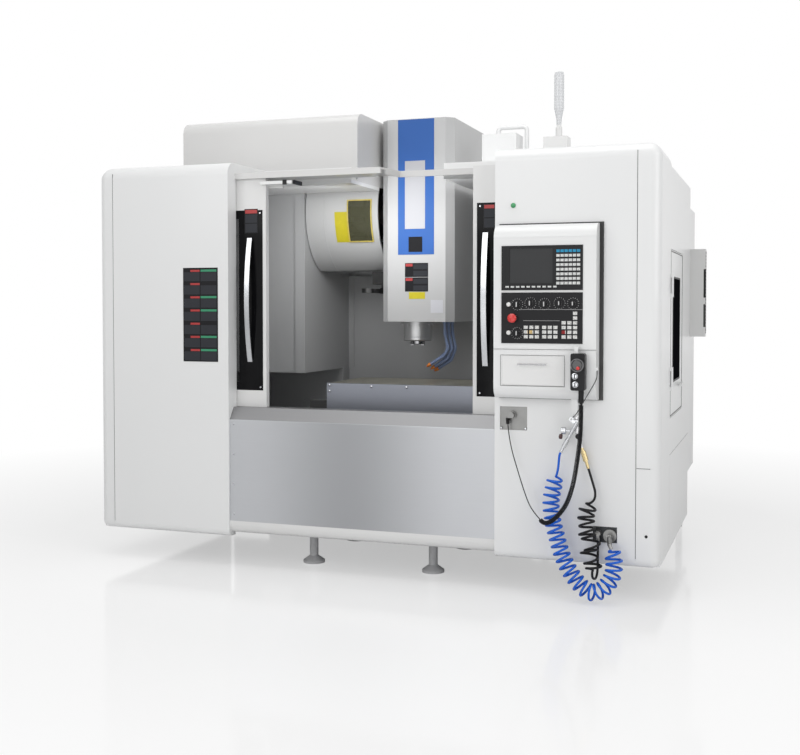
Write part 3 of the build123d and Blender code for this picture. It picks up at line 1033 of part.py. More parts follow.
coolant_gun += rod(coolant_top + coolant_dir * 160, coolant_dir, 8, 38)
coolant_gun += rod((1181, coolant_y + 14, 800), (0, -1, 0), 17, 22)
coolant_gun += block(1166, 1180, coolant_y - 6, coolant_y + 6, 795, coolant_ring_z)
coolant_gun += rod((coolant_hook_x, coolant_y - 6, coolant_ring_z), (0, 1, 0), 12, 12)
coolant_gun -= rod((coolant_hook_x, coolant_y - 20, coolant_ring_z), (0, 1, 0), ring_bore, 40)
nodes["coolant_gun"] = coolant_gun


def cord(name, points, radius):
    """Tube of straight runs and large tangent arcs along a hand-chosen route."""
    p = [Vector(*q) for q in points]
    radii = []
    for a, b, c in zip(p, p[1:], p[2:]):
        turn = math.radians((b - a).get_angle(c - b))
        radii.append(0.45 * min((b - a).length, (c - b).length) / math.tan(turn / 2))
    route = FilletPolyline(*p, radius=radii)
    tube = sweep(Plane(origin=route @ 0, z_dir=route % 0) * Circle(radius), route)
    straight = math.pi * radius**2 * route.length
    print(name, "smallest arc", round(min(radii)), "length", round(route.length), "volume ratio",
          round(tube.volume / straight, 3), "valid", tube.is_valid)
    nodes[name] = tube.solid()


cord("pendant_lead", pendant_lead_route, lead_radius)
cord("pendant_curl", pendant_curl_route, curl_radius)
cord("blue_lead", blue_lead_route, hose_radius)
cord("blue_coil", blue_coil_route, coil_radius)
cord("black_lead", black_lead_route, hose_radius)
cord("black_coil", black_coil_route, coil_radius)
cord("black_tail", black_tail_route, hose_radius)
cord("gun_lanyard", gun_lanyard_route, lanyard_radius)

cord_names = ("pendant_lead", "pendant_curl", "blue_lead", "blue_coil", "black_lead", "black_coil", "black_tail",
              "gun_lanyard")

# every node moves so that the footprint's middle on the floor is the origin
boxes = [shape.bounding_box() for name, shape in nodes.items() if name not in cord_names]
low, high = min(b.min.X for b in boxes), max(b.max.X for b in boxes)
front, back = min(b.min.Y for b in boxes), max(b.max.Y for b in boxes)
shift = Pos(-(low + high) / 2, -(front + back) / 2, -floor_z)
print("shift", shift.position)
for name, shape in nodes.items():
    export_step(shift * shape, f"parts/{name}.step")
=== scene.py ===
import math

import bmesh
import bpy
from mathutils import Matrix, Vector


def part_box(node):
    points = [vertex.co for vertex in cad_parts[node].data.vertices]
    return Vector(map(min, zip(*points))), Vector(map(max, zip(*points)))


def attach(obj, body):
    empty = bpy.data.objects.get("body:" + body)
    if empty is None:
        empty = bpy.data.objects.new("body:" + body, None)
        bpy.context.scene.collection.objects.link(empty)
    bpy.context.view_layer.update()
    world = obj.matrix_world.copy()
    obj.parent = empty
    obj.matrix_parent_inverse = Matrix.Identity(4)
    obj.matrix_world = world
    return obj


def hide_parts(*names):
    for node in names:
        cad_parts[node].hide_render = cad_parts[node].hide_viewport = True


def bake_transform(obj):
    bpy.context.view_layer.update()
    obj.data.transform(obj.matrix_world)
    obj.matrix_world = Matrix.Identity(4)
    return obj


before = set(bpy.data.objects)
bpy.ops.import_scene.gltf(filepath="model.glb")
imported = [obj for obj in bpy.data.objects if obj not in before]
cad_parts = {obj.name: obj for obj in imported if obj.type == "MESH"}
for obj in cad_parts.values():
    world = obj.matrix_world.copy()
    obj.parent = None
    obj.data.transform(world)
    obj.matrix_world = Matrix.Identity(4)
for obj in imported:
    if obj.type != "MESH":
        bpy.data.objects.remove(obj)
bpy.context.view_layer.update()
mm = 0.001

# the machine's own zero: spindle axis, front of the cabinets, and the level 30 mm above the floor
shaftLow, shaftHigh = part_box("spindle_shaft")
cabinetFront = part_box("left_cabinet")[0][1]
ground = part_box("levelling_feet")[0][2]
zero = Vector(((shaftLow[0] + shaftHigh[0]) / 2, cabinetFront, ground + 30 * mm))


def place(x, y, z):
    return zero + Vector((x, y, z)) * mm


def atX(x):
    return place(x, 0, 0)[0]


def atY(y):
    return place(0, y, 0)[1]


def atZ(z):
    return place(0, 0, z)[2]


def shown(holder):
    bpy.context.scene.collection.objects.link(holder)
    return holder


print("frame loaded, machine zero at", [round(v, 4) for v in zero])


# ---- shader maths ----

class Signal:
    def __init__(self, wiring, socket):
        self.wiring = wiring
        self.socket = socket

    def math(self, operation, *others, clamp=False):
        values = dict(enumerate((self, *others)))
        return self.wiring.node("ShaderNodeMath", {"operation": operation, "use_clamp": clamp}, values)["Value"]

    def __add__(self, other):
        return self.math("ADD", other)

    def __radd__(self, other):
        return self.math("ADD", other)

    def __mul__(self, other):
        return self.math("MULTIPLY", other)

    def __rmul__(self, other):
        return self.math("MULTIPLY", other)

    def __sub__(self, other):
        return self.math("SUBTRACT", other)

    def __rsub__(self, other):
        return (self * -1.0).math("ADD", other)

    def __truediv__(self, other):
        return self.math("DIVIDE", other)

    def __lt__(self, other):
        return self.math("LESS_THAN", other)

    def __gt__(self, other):
        return self.math("GREATER_THAN", other)

    def clamped(self):
        return self.math("ADD", 0.0, clamp=True)

    def between(self, low, high):
        return (self > low) * (self < high)


class Built:
    def __init__(self, wiring, node):
        self.wiring = wiring
        self.node = node

    def __getitem__(self, name):
        return Signal(self.wiring, self.node.outputs[name])


class Wiring:
    def __init__(self, tree):
        self.tree = tree
        self.tree.nodes.clear()

    def set(self, socket, value):
        if isinstance(value, Signal):
            self.tree.links.new(value.socket, socket)
        else:
            socket.default_value = value

    def node(self, kind, settings=None, values=None):
        made = self.tree.nodes.new(kind)
        for key, value in (settings or {}).items():
            setattr(made, key, value)
        for key, value in (values or {}).items():
            self.set(made.inputs[key], value)
        return Built(self, made)


class Finish(Wiring):
    def __init__(self, name, **constants):
        self.material = bpy.data.materials.new(name)
        self.material.use_nodes = True
        super().__init__(self.material.node_tree)
        self.shader = self.node("ShaderNodeBsdfPrincipled", {}, constants)
        self.node("ShaderNodeOutputMaterial", {}, {"Surface": self.shader["BSDF"]})

    def feed(self, name, value):
        self.set(self.shader.node.inputs[name], value)

    def fed(self, name):
        return Signal(self, self.shader.node.inputs[name].links[0].from_socket)

    def coordinates(self):
        return self.node("ShaderNodeTexCoord")["Object"]

    def axes(self):
        split = self.node("ShaderNodeSeparateXYZ", {}, {"Vector": self.coordinates()})
        return split["X"], split["Y"], split["Z"]

    def stretched(self, scale):
        return self.node("ShaderNodeMapping", {}, {"Vector": self.coordinates(), "Scale": scale})["Vector"]

    def noise(self, scale, detail=4.0, rough=0.5, vector=None):
        values = {"Scale": scale, "Detail": detail, "Roughness": rough, "Vector": vector or self.coordinates()}
        return self.node("ShaderNodeTexNoise", {}, values)["Fac"]

    def blend(self, factor, first, second):
        mix = self.node("ShaderNodeMix", {"data_type": "RGBA"}).node
        given = {socket.identifier: socket for socket in mix.inputs}
        for name, value in (("Factor_Float", factor), ("A_Color", first), ("B_Color", second)):
            self.set(given[name], (*value, 1.0) if isinstance(value, tuple) else value)
        return Signal(self, next(s for s in mix.outputs if s.identifier == "Result_Color"))

    def bump(self, height, strength, distance=0.001):
        made = self.node("ShaderNodeBump", {}, {"Height": height, "Strength": strength, "Distance": distance})
        self.feed("Normal", made["Normal"])


def tone(colour, amount):
    return tuple(min(1.0, c * amount) for c in colour)


def powderCoat(name, colour, roughness=0.32, peel=0.05, coat=0.25, shine=0.5):
    finish = Finish(name, **{"Coat Weight": coat, "Coat Roughness": 0.12, "IOR": 1.5, "Specular IOR Level": shine})
    drift = finish.noise(1.3, 3.0)
    fine = finish.noise(420.0, 2.0)
    dust = finish.noise(9.0, 6.0, 0.65)
    finish.feed("Base Color", finish.blend(drift, tone(colour, 0.985), tone(colour, 1.01)))
    finish.feed("Roughness", dust * 0.12 + (roughness - 0.06))
    finish.bump(fine, peel, 0.0004)
    return finish


def brushedSteel(name, colour, grain, roughness=0.3, metallic=0.9, streak=0.12):
    finish = Finish(name)
    lines = finish.noise(6.0, 5.0, 0.7, finish.stretched(grain))
    wide = finish.noise(1.1, 2.0, 0.5)
    shade = finish.blend(lines, tone(colour, 1 - streak), tone(colour, 1 + streak))
    finish.feed("Base Color", finish.blend(wide * 0.35, shade, tone(colour, 0.82)))
    finish.feed("Metallic", metallic)
    finish.feed("Roughness", lines * 0.14 + wide * 0.1 + (roughness - 0.12))
    finish.bump(lines, 0.12, 0.0003)
    return finish


def machinedIron(name, colour, roughness=0.36):
    finish = Finish(name, **{"Metallic": 0.85})
    feedMarks = finish.noise(9.0, 3.0, 0.6, finish.stretched((3.0, 220.0, 8.0)))
    stain = finish.noise(7.0, 6.0, 0.7)
    finish.feed("Base Color", finish.blend(stain, tone(colour, 0.8), tone(colour, 1.18)))
    finish.feed("Roughness", feedMarks * 0.2 + stain * 0.12 + (roughness - 0.16))
    finish.bump(feedMarks, 0.2, 0.0004)
    return finish


tSlots = {"first": 520, "pitch": 100, "count": 5, "land": 14.5}


def tableFinish(name, colour):
    # machined top with a lighter band along each T-slot: the ground edges' bright metal and a painted sheen
    finish = machinedIron(name, colour)
    x, y, z = finish.axes()
    slotSheen = y * 0.0
    for k in range(tSlots["count"]):
        middle = tSlots["first"] + tSlots["pitch"] * k
        slotSheen = slotSheen + y.between(atY(middle) - tSlots["land"] * mm, atY(middle) + tSlots["land"] * mm)
    finish.feed("Base Color", finish.blend(slotSheen.clamped(), finish.fed("Base Color"), (0.62, 0.60, 0.52)))
    return finish


def castPaint(name, colour, roughness=0.55):
    finish = Finish(name)
    lumps = finish.noise(55.0, 5.0, 0.6)
    finish.feed("Base Color", finish.blend(lumps, tone(colour, 0.85), tone(colour, 1.1)))
    finish.feed("Roughness", lumps * 0.15 + roughness - 0.07)
    finish.bump(lumps, 0.35, 0.001)
    return finish


def polishedMetal(name, colour, roughness=0.12, rings=False):
    finish = Finish(name, **{"Metallic": 1.0})
    vector = finish.stretched((2.0, 2.0, 260.0)) if rings else finish.coordinates()
    marks = finish.noise(6.0 if rings else 60.0, 3.0, 0.6, vector)
    finish.feed("Base Color", finish.blend(marks, tone(colour, 0.9), tone(colour, 1.05)))
    finish.feed("Roughness", marks * 0.12 + roughness - 0.04)
    finish.bump(marks, 0.05, 0.0002)
    return finish


def moulded(name, colour, roughness=0.4, grainSize=700.0, strength=0.12, coat=0.0, shine=0.5):
    finish = Finish(name, **{"Coat Weight": coat, "Coat Roughness": 0.08, "Specular IOR Level": shine})
    grain = finish.noise(grainSize, 2.0)
    wear = finish.noise(30.0, 5.0, 0.6)
    finish.feed("Base Color", finish.blend(wear, tone(colour, 0.88), tone(colour, 1.12)))
    finish.feed("Roughness", wear * 0.16 + roughness - 0.08)
    finish.bump(grain, strength, 0.0003)
    return finish


def doorGlass(name, windowLow, windowHigh):
    # glossy black border printed on smoked glass, clear where the window is
    finish = Finish(name, **{"IOR": 1.35, "Specular IOR Level": 0.18})
    x, y, z = finish.axes()
    seeThrough = x.between(windowLow[0], windowHigh[0]) * z.between(windowLow[2], windowHigh[2])
    dust = finish.noise(14.0, 6.0, 0.7)
    finish.feed("Base Color", finish.blend(dust, (0.003, 0.003, 0.0035), (0.008, 0.008, 0.009)))
    finish.feed("Roughness", dust * 0.1 + 0.03)
    finish.feed("Alpha", 1.0 - seeThrough * 0.62)
    finish.material.surface_render_method = "BLENDED"
    return finish


def clearPlastic(name, tint, alpha=0.3):
    finish = Finish(name, **{"Coat Weight": 0.6, "IOR": 1.49})
    scuffs = finish.noise(40.0, 6.0, 0.7)
    finish.feed("Base Color", finish.blend(scuffs, tone(tint, 0.85), tone(tint, 1.1)))
    finish.feed("Roughness", scuffs * 0.12 + 0.04)
    finish.feed("Alpha", scuffs * 0.12 + alpha)
    finish.material.surface_render_method = "BLENDED"
    return finish


whiteCoat = powderCoat("whiteCoat", (0.80, 0.805, 0.805))
warmCoat = powderCoat("warmCoat", (0.74, 0.74, 0.735))
liningCoat = powderCoat("liningCoat", (0.47, 0.475, 0.48), 0.4)
drumCoat = powderCoat("drumCoat", (0.56, 0.565, 0.565), 0.34)
hoodCoat = powderCoat("hoodCoat", (0.66, 0.657, 0.65), 0.32)
greyCoat = powderCoat("greyCoat", (0.18, 0.185, 0.19), 0.4)
blueCoat = powderCoat("blueCoat", (0.040, 0.125, 0.40), 0.36, 0.01, 0.0, 0.15)
platePaint = powderCoat("platePaint", (0.57, 0.575, 0.61), 0.4, 0.01, 0.0, 0.2)
# the white inset's paint, darker than the white plate's to offset the stronger light high on the head: painted shade
insetPaint = powderCoat("insetPaint", (0.46, 0.465, 0.49), 0.4, 0.01, 0.0, 0.2)
splashSteel = brushedSteel("splashSteel", (0.30, 0.315, 0.36), (2.0, 4.0, 50.0), 0.34, 0.7, 0.1)
coverSteel = brushedSteel("coverSteel", (0.30, 0.30, 0.30), (50.0, 2.0, 4.0), 0.34, 0.85, 0.1)
tableIron = tableFinish("tableIron", (0.27, 0.26, 0.215))
castGrey = castPaint("castGrey", (0.30, 0.32, 0.33))
darkMetal = polishedMetal("darkMetal", (0.16, 0.16, 0.165), 0.3)
chrome = polishedMetal("chrome", (0.56, 0.57, 0.59), 0.2)
noseSteel = brushedSteel("noseSteel", (0.62, 0.625, 0.63), (2.0, 2.0, 220.0), 0.4, 0.72, 0.1)
blackRubber = moulded("blackRubber", (0.008, 0.008, 0.009), 0.42, 500.0, 0.2, 0.0, 0.22)
blackPlastic = moulded("blackPlastic", (0.010, 0.010, 0.011), 0.36, 700.0, 0.12, 0.0, 0.22)
# near-black finish for a sheet that stands in for shadow
darkGap = moulded("darkGap", (0.006, 0.006, 0.006), 0.7, 700.0, 0.1, 0.0, 0.1)
bluePipe = moulded("bluePipe", (0.004, 0.115, 0.62), 0.25, 300.0, 0.05, 0.1, 0.3)
redPlastic = moulded("redPlastic", (0.62, 0.012, 0.008), 0.28, 500.0, 0.08, 0.4)
brownPlastic = moulded("brownPlastic", (0.05, 0.008, 0.007), 0.3, 500.0, 0.08, 0.3)
greenLens = moulded("greenLens", (0.01, 0.28, 0.08), 0.12, 200.0, 0.05, 1.0)
orangePlastic = moulded("orangePlastic", (0.75, 0.22, 0.02), 0.4)
paleBlue = moulded("paleBlue", (0.20, 0.26, 0.42), 0.35)
whitePlastic = moulded("whitePlastic", (0.78, 0.78, 0.77), 0.35)
windowClear = clearPlastic("windowClear", (0.10, 0.10, 0.06), 0.55)
print("finishes made:", len(bpy.data.materials))


# ---- the console's two panels: one finish each, masked by the keys' own height and place ----

faceY = atY(-107)


def displayFinish():
    finish = Finish("displayPanel", **{"Specular IOR Level": 0.22})
    x, y, z = finish.axes()
    key = y < faceY - 0.5 * mm
    tealRow = key * (z > atZ(1658)) * (x > atX(1080))
    screen = x.between(atX(856), atX(1069)) * z.between(atZ(1513), atZ(1681))
    screen = screen * (y > faceY + 1.5 * mm)
    grain = finish.noise(600.0)
    legend = key * (finish.noise(340.0, 2.0) > 0.60)
    colour = finish.blend(grain, (0.012, 0.012, 0.013), (0.02, 0.02, 0.022))
    colour = finish.blend(screen, colour, (0.045, 0.046, 0.048))
    colour = finish.blend(key, colour, (0.72, 0.73, 0.72))
    colour = finish.blend(tealRow, colour, (0.03, 0.30, 0.52))
    colour = finish.blend(legend * 0.55, colour, (0.06, 0.06, 0.07))
    finish.feed("Base Color", colour)
    finish.feed("Roughness", 0.42 - screen * 0.34 + grain * 0.08)
    finish.bump(grain, 0.05, 0.0002)
    return finish


def operatorFinish():
    finish = Finish("operatorPanel", **{"Specular IOR Level": 0.2})
    x, y, z = finish.axes()
    key = y.between(faceY - 1.6 * mm, faceY - 0.4 * mm)
    lowRow = key * z.between(atZ(1266), atZ(1287))
    redKey = lowRow * x.between(atX(1104), atX(1131))
    warmKey = lowRow * x.between(atX(946), atX(971))
    pointer = (y < faceY - 20 * mm) * 1.0
    grain = finish.noise(600.0)
    legend = key * (finish.noise(300.0, 2.0) > 0.58)
    lineA = z.between(atZ(1384), atZ(1386)) * (x > atX(905))
    lineB = z.between(atZ(1330), atZ(1332)) * x.between(atX(925), atX(1104))
    lines = (lineA + lineB).clamped() * (y > faceY - 0.4 * mm)
    colour = finish.blend(grain, (0.010, 0.010, 0.011), (0.018, 0.018, 0.02))
    colour = finish.blend(key, colour, (0.74, 0.74, 0.72))
    colour = finish.blend(redKey, colour, (0.30, 0.02, 0.02))
    colour = finish.blend(warmKey, colour, (0.70, 0.50, 0.22))
    colour = finish.blend(legend * 0.6, colour, (0.03, 0.03, 0.035))
    colour = finish.blend(lines * 0.7, colour, (0.5, 0.5, 0.5))
    colour = finish.blend(pointer, colour, (0.62, 0.62, 0.62))
    finish.feed("Base Color", colour)
    finish.feed("Roughness", 0.4 + grain * 0.1)
    finish.bump(grain, 0.05, 0.0002)
    return finish


def cabinetFinish():
    # the right cabinet carries the console's rubber seal and hinge ears on its front
    finish = powderCoat("cabinetCoat", (0.80, 0.805, 0.805))
    x, y, z = finish.axes()
    seal = (y < zero[1] - 0.6 * mm) * (z < atZ(1830))
    finish.feed("Base Color", finish.blend(seal, finish.fed("Base Color"), (0.008, 0.008, 0.008)))
    return finish


def masked(finish, mask, colour, roughness):
    # a coat whose masked places take another colour and gloss
    finish.feed("Base Color", finish.blend(mask, finish.fed("Base Color"), colour))
    finish.feed("Roughness", finish.fed("Roughness") * (1.0 - mask) + mask * roughness)
    return finish


def coolerFinish():
    finish = powderCoat("coolerCoat", (0.66, 0.66, 0.655))
    x, y, z = finish.axes()
    # its two vent recesses on the front are painted near black: painted shade
    upper = z.between(atZ(1455), atZ(1630))
    lower = z.between(atZ(1275), atZ(1415))
    vents = (upper + lower).clamped() * (x > atX(1648)) * (y < atY(1712))
    return masked(finish, vents, (0.012, 0.012, 0.012), 0.6)


def flapFinish():
    # painted flap with a bright wire handle
    finish = powderCoat("flapCoat", (0.78, 0.78, 0.775))
    x, y, z = finish.axes()
    wire = y < atY(-109)
    masked(finish, wire, (0.34, 0.34, 0.35), 0.2)
    finish.feed("Metallic", wire * 0.9)
    return finish


def gunFinish():
    # bright body above, brass coupling below
    finish = Finish("gunMetal", **{"Metallic": 1.0})
    x, y, z = finish.axes()
    grain = finish.noise(60.0, 4.0)
    low = z < atZ(712)
    colour = finish.blend(grain, (0.46, 0.46, 0.47), (0.60, 0.60, 0.61))
    finish.feed("Base Color", finish.blend(low, colour, (0.62, 0.50, 0.27)))
    finish.feed("Roughness", grain * 0.12 + 0.18)
    finish.bump(grain, 0.05, 0.0002)
    return finish


def serviceFinish():
    # steel socket plate above, dark coupling plate below, with steel fittings
    finish = Finish("serviceFinish", **{"Metallic": 0.9})
    x, y, z = finish.axes()
    lowPlate = (z < atZ(500)) * (y > atY(3))
    cable = (z > atZ(500)) * (z < atZ(845)) * (y < atY(-8))
    grain = finish.noise(26.0, 5.0, 0.7)
    colour = finish.blend(grain, (0.20, 0.20, 0.195), (0.30, 0.30, 0.295))
    colour = finish.blend(lowPlate, colour, (0.045, 0.047, 0.05))
    finish.feed("Base Color", finish.blend(cable, colour, (0.015, 0.015, 0.015)))
    finish.feed("Roughness", grain * 0.2 + 0.24)
    finish.bump(grain, 0.08, 0.0003)
    return finish


def towerFinish():
    # painted foot, turned stem and a clear ribbed lens tube, each rib carrying a lighter painted highlight
    finish = Finish("towerFinish", **{"IOR": 1.45, "Coat Weight": 0.4})
    x, y, z = finish.axes()
    lens = z > atZ(2338)
    ribsAndHighlight = ((z * 420.0).math("SINE") * 0.5 + 0.5) * lens
    colour = finish.blend(lens, (0.74, 0.74, 0.735), (0.62, 0.63, 0.65))
    finish.feed("Base Color", finish.blend(ribsAndHighlight * 0.5, colour, (0.80, 0.82, 0.84)))
    finish.feed("Roughness", 0.34 - lens * 0.24)
    finish.feed("Alpha", 1.0 - lens * 0.45)
    finish.bump(ribsAndHighlight, 0.1, 0.0005)
    finish.material.surface_render_method = "BLENDED"
    return finish


def splitFinish(name, lowFinish, highFinish, height):
    # one CAD sheet: its slanted ledge is painted a darker tone than its face for the light it catches, and a painted
    # shade darkens the middle of the face
    finish = Finish(name, **{"Metallic": 0.85})
    x, y, z = finish.axes()
    ledge = z > height
    lines = finish.noise(6.0, 5.0, 0.7, finish.stretched((1.0, 3.0, 60.0)))
    # painted shade: the face darkens towards x = -40 mm
    middle = ((x - atX(-40)) / 0.62).math("ABSOLUTE")
    paintedShadeSweep = (1.0 - middle).clamped()
    paintedShadeSweep = paintedShadeSweep * paintedShadeSweep * (3.0 - paintedShadeSweep * 2.0)
    low = finish.blend(lines, tone(lowFinish, 0.95), tone(lowFinish, 1.05))
    low = finish.blend(paintedShadeSweep * 0.85, low, tone(lowFinish, 0.62))
    high = finish.blend(lines, tone(highFinish, 0.95), tone(highFinish, 1.05))
    finish.feed("Base Color", finish.blend(ledge, low, high))
    finish.feed("Roughness", lines * 0.12 + 0.34)
    finish.bump(lines, 0.06, 0.0002)
    return finish


leftPaneLow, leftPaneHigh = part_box("left_door_pane")
rightPaneLow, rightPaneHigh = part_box("right_door_pane")
stripWidth, paneRim = 146 * mm, 46 * mm
leftGlass = doorGlass("leftGlass", (leftPaneLow[0] + paneRim, 0, leftPaneLow[2] + paneRim),
                      (leftPaneHigh[0] - stripWidth, 0, leftPaneHigh[2] - paneRim))
rightGlass = doorGlass("rightGlass", (rightPaneLow[0] + stripWidth, 0, rightPaneLow[2] + paneRim),
                       (rightPaneHigh[0] - paneRim, 0, rightPaneHigh[2] - paneRim))
apronFinish = splitFinish("apronFinish", (0.50, 0.51, 0.53), (0.27, 0.27, 0.275), atZ(781))

headCoat = powderCoat("headCoat", (0.47, 0.473, 0.475), 0.32)
footPaint = castPaint("footPaint", (0.55, 0.55, 0.56))
saddlePaint = castPaint("saddlePaint", (0.07, 0.07, 0.07))
discPaint = castPaint("discPaint", (0.10, 0.09, 0.07))
changerPaint = castPaint("changerPaint", (0.03, 0.03, 0.03))
shaftSteel = polishedMetal("shaftSteel", (0.34, 0.34, 0.35), 0.2, True)
armSteel = polishedMetal("armSteel", (0.10, 0.10, 0.10), 0.35)
dialPlastic = moulded("dialPlastic", (0.03, 0.03, 0.032), 0.25, 500.0, 0.1, 0.5)

finishOf = {
    "left_cabinet": whiteCoat, "right_cabinet": cabinetFinish(), "side_panels": whiteCoat, "side_door": whiteCoat,
    "roof_panels": whiteCoat, "rear_panels": whiteCoat, "electrical_cabinet": whiteCoat,
    "console_housing": whiteCoat, "kick_plate": warmCoat, "left_door": warmCoat, "right_door": warmCoat,
    "top_rail": hoodCoat, "magazine_hood": hoodCoat, "head_cover": headCoat, "magazine_cover": drumCoat,
    "chamber_lining": liningCoat, "z_cover_sheet": liningCoat, "coolant_tank": greyCoat,
    "cabinet_cooler": coolerFinish(), "tower_light": towerFinish(), "service_plates": serviceFinish(),
    "front_apron": apronFinish, "table_apron": splashSteel, "y_cover_middle": coverSteel, "y_cover_moving": coverSteel,
    "base_casting": castGrey, "column_casting": castGrey, "headstock": castGrey, "levelling_feet": footPaint,
    "saddle_casting": saddlePaint, "tool_disc": discPaint, "changer_frame": changerPaint, "work_table": tableIron,
    "spindle_cartridge": noseSteel, "spindle_shaft": shaftSteel, "change_arm": armSteel,
    "coolant_nozzles": paleBlue, "magazine_window": windowClear,
    "left_door_pane": leftGlass, "right_door_pane": rightGlass, "left_door_handle": chrome,
    "right_door_handle": chrome, "air_gun": chrome, "coolant_gun": gunFinish(),
    "display_unit": displayFinish(), "operator_panel": operatorFinish(), "keyboard_flap": flapFinish(),
    "emergency_stop": redPlastic, "start_button": whitePlastic, "hold_button": whitePlastic,
    "pendant": blackPlastic, "pendant_dial": dialPlastic,
}
for nodeName, finish in finishOf.items():
    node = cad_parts[nodeName]
    for slot in node.material_slots:
        slot.material = finish.material
print("CAD nodes dressed:", len(finishOf))


# ---- mesh helpers ----

def finished(name, mesh, finish, body):
    piece = shown(bpy.data.objects.new(name, mesh))
    if finish:
        mesh.materials.clear()
        mesh.materials.append(finish.material)
    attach(piece, body)


def boxMesh(name, low, high, bevel=0.0, segments=2):
    # box between two corners, given in machine millimetres, with rounded edges
    maker = bmesh.new()
    bmesh.ops.create_cube(maker, size=1.0)
    lowP, highP = place(*low), place(*high)
    size = highP - lowP
    for vert in maker.verts:
        vert.co = Vector((lowP[k] + (vert.co[k] + 0.5) * size[k] for k in range(3)))
    if bevel:
        bmesh.ops.bevel(maker, geom=maker.edges[:], offset=bevel * mm, segments=segments, profile=0.5, affect="EDGES")
    mesh = bpy.data.meshes.new(name)
    maker.to_mesh(mesh)
    maker.free()
    return mesh


def turnedMesh(name, start, direction, profile, sides=32):
    # solid of revolution: profile is (radius, distance along the axis) in millimetres
    maker = bmesh.new()
    axis = Vector(direction).normalized()
    side = axis.orthogonal().normalized()
    other = axis.cross(side)
    rings = []
    for radius, along in profile:
        centre = place(*start) + axis * along * mm
        if radius == 0:
            rings.append([maker.verts.new(centre)])
            continue
        ring = []
        for k in range(sides):
            turn = 2 * math.pi * k / sides
            ring.append(maker.verts.new(centre + (side * math.cos(turn) + other * math.sin(turn)) * radius * mm))
        rings.append(ring)
    for a, b in zip(rings, rings[1:]):
        if len(a) == 1 and len(b) == 1:
            continue
        for k in range(sides):
            n = (k + 1) % sides
            if len(a) == 1:
                maker.faces.new((a[0], b[n], b[k]))
            elif len(b) == 1:
                maker.faces.new((a[k], a[n], b[0]))
            else:
                maker.faces.new((a[k], a[n], b[n], b[k]))
    bmesh.ops.recalc_face_normals(maker, faces=maker.faces[:])
    mesh = bpy.data.meshes.new(name)
    maker.to_mesh(mesh)
    maker.free()
    for face in mesh.polygons:
        face.use_smooth = True
    mesh.set_sharp_from_angle(angle=math.radians(35))
    return mesh


def joined(name, meshes):
    maker = bmesh.new()
    for mesh in meshes:
        maker.from_mesh(mesh)
    whole = bpy.data.meshes.new(name)
    maker.to_mesh(whole)
    maker.free()
    for mesh in meshes:
        bpy.data.meshes.remove(mesh)
    return whole


# ---- Geometry Nodes: rows of screw heads, hose segments, slats and dial marks ----

def openTree(name, **sockets):
    tree = bpy.data.node_groups.new(name, "GeometryNodeTree")
    for socketName, kind in {"Geometry": "Geometry", **sockets}.items():
        tree.interface.new_socket(socketName, in_out="INPUT", socket_type="NodeSocket" + kind)
    tree.interface.new_socket("Geometry", in_out="OUTPUT", socket_type="NodeSocketGeometry")
    wiring = Wiring(tree)
    return wiring, wiring.node("NodeGroupInput")


def closeTree(wiring, geometry, finish):
    real = wiring.node("GeometryNodeRealizeInstances", {}, {"Geometry": geometry})["Geometry"]
    dressed = wiring.node("GeometryNodeSetMaterial", {}, {"Geometry": real, "Material": finish.material})["Geometry"]
    wiring.node("NodeGroupOutput", {}, {"Geometry": dressed})
    return wiring.tree


def rowOf(wiring, given):
    values = {"Start Location": given["Start"], "Offset": given["Step"], "Count": given["Count"]}
    return wiring.node("GeometryNodeMeshLine", {}, values)["Mesh"]


def facing(wiring, direction):
    return wiring.node("FunctionNodeAlignRotationToVector", {}, {"Vector": direction})["Rotation"]


def cone(wiring, given, sides, neck, height):
    values = {"Vertices": sides, "Radius Bottom": given["Radius"], "Radius Top": given["Radius"] * neck,
              "Depth": given[height]}
    return wiring.node("GeometryNodeMeshCone", {}, values)["Mesh"]


def copied(wiring, points, piece, rotation):
    values = {"Points": points, "Instance": piece, "Rotation": rotation}
    return wiring.node("GeometryNodeInstanceOnPoints", {}, values)["Instances"]


def screwTree(finish):
    wiring, given = openTree("screwRow", Start="Vector", Step="Vector", Count="Int", Radius="Float", Height="Float",
                             Facing="Vector")
    head = cone(wiring, given, 12, 0.72, "Height")
    return closeTree(wiring, copied(wiring, rowOf(wiring, given), head, facing(wiring, given["Facing"])), finish)


def beadTree(finish):
    wiring, given = openTree("hoseSegments", Spacing="Float", Radius="Float", Length="Float")
    curve = wiring.node("GeometryNodeMeshToCurve", {}, {"Mesh": given["Geometry"]})["Curve"]
    spread = wiring.node("GeometryNodeResampleCurve", {"mode": "LENGTH"}, {"Curve": curve, "Length": given["Spacing"]})
    turn = facing(wiring, wiring.node("GeometryNodeInputTangent")["Tangent"])
    bead = cone(wiring, given, 14, 0.74, "Length")
    return closeTree(wiring, copied(wiring, spread["Curve"], bead, turn), finish)


def slatTree(finish):
    wiring, given = openTree("slats", Start="Vector", Step="Vector", Count="Int", Size="Vector", Tilt="Vector")
    slat = wiring.node("GeometryNodeMeshCube", {}, {"Size": given["Size"]})["Mesh"]
    turn = wiring.node("FunctionNodeEulerToRotation", {}, {"Euler": given["Tilt"]})["Rotation"]
    return closeTree(wiring, copied(wiring, rowOf(wiring, given), slat, turn), finish)


def markTree(finish):
    wiring, given = openTree("dialMarks", Centre="Vector", Ring="Float", Count="Int", Size="Vector")
    ring = wiring.node("GeometryNodeMeshCircle", {}, {"Radius": given["Ring"], "Vertices": given["Count"]})["Mesh"]
    mark = wiring.node("GeometryNodeMeshCube", {}, {"Size": given["Size"]})["Mesh"]
    turn = facing(wiring, wiring.node("GeometryNodeInputPosition")["Position"])
    values = {"Geometry": copied(wiring, ring, mark, turn), "Translation": given["Centre"],
              "Rotation": (math.pi / 2, 0, 0)}
    return closeTree(wiring, wiring.node("GeometryNodeTransform", {}, values)["Geometry"], finish)


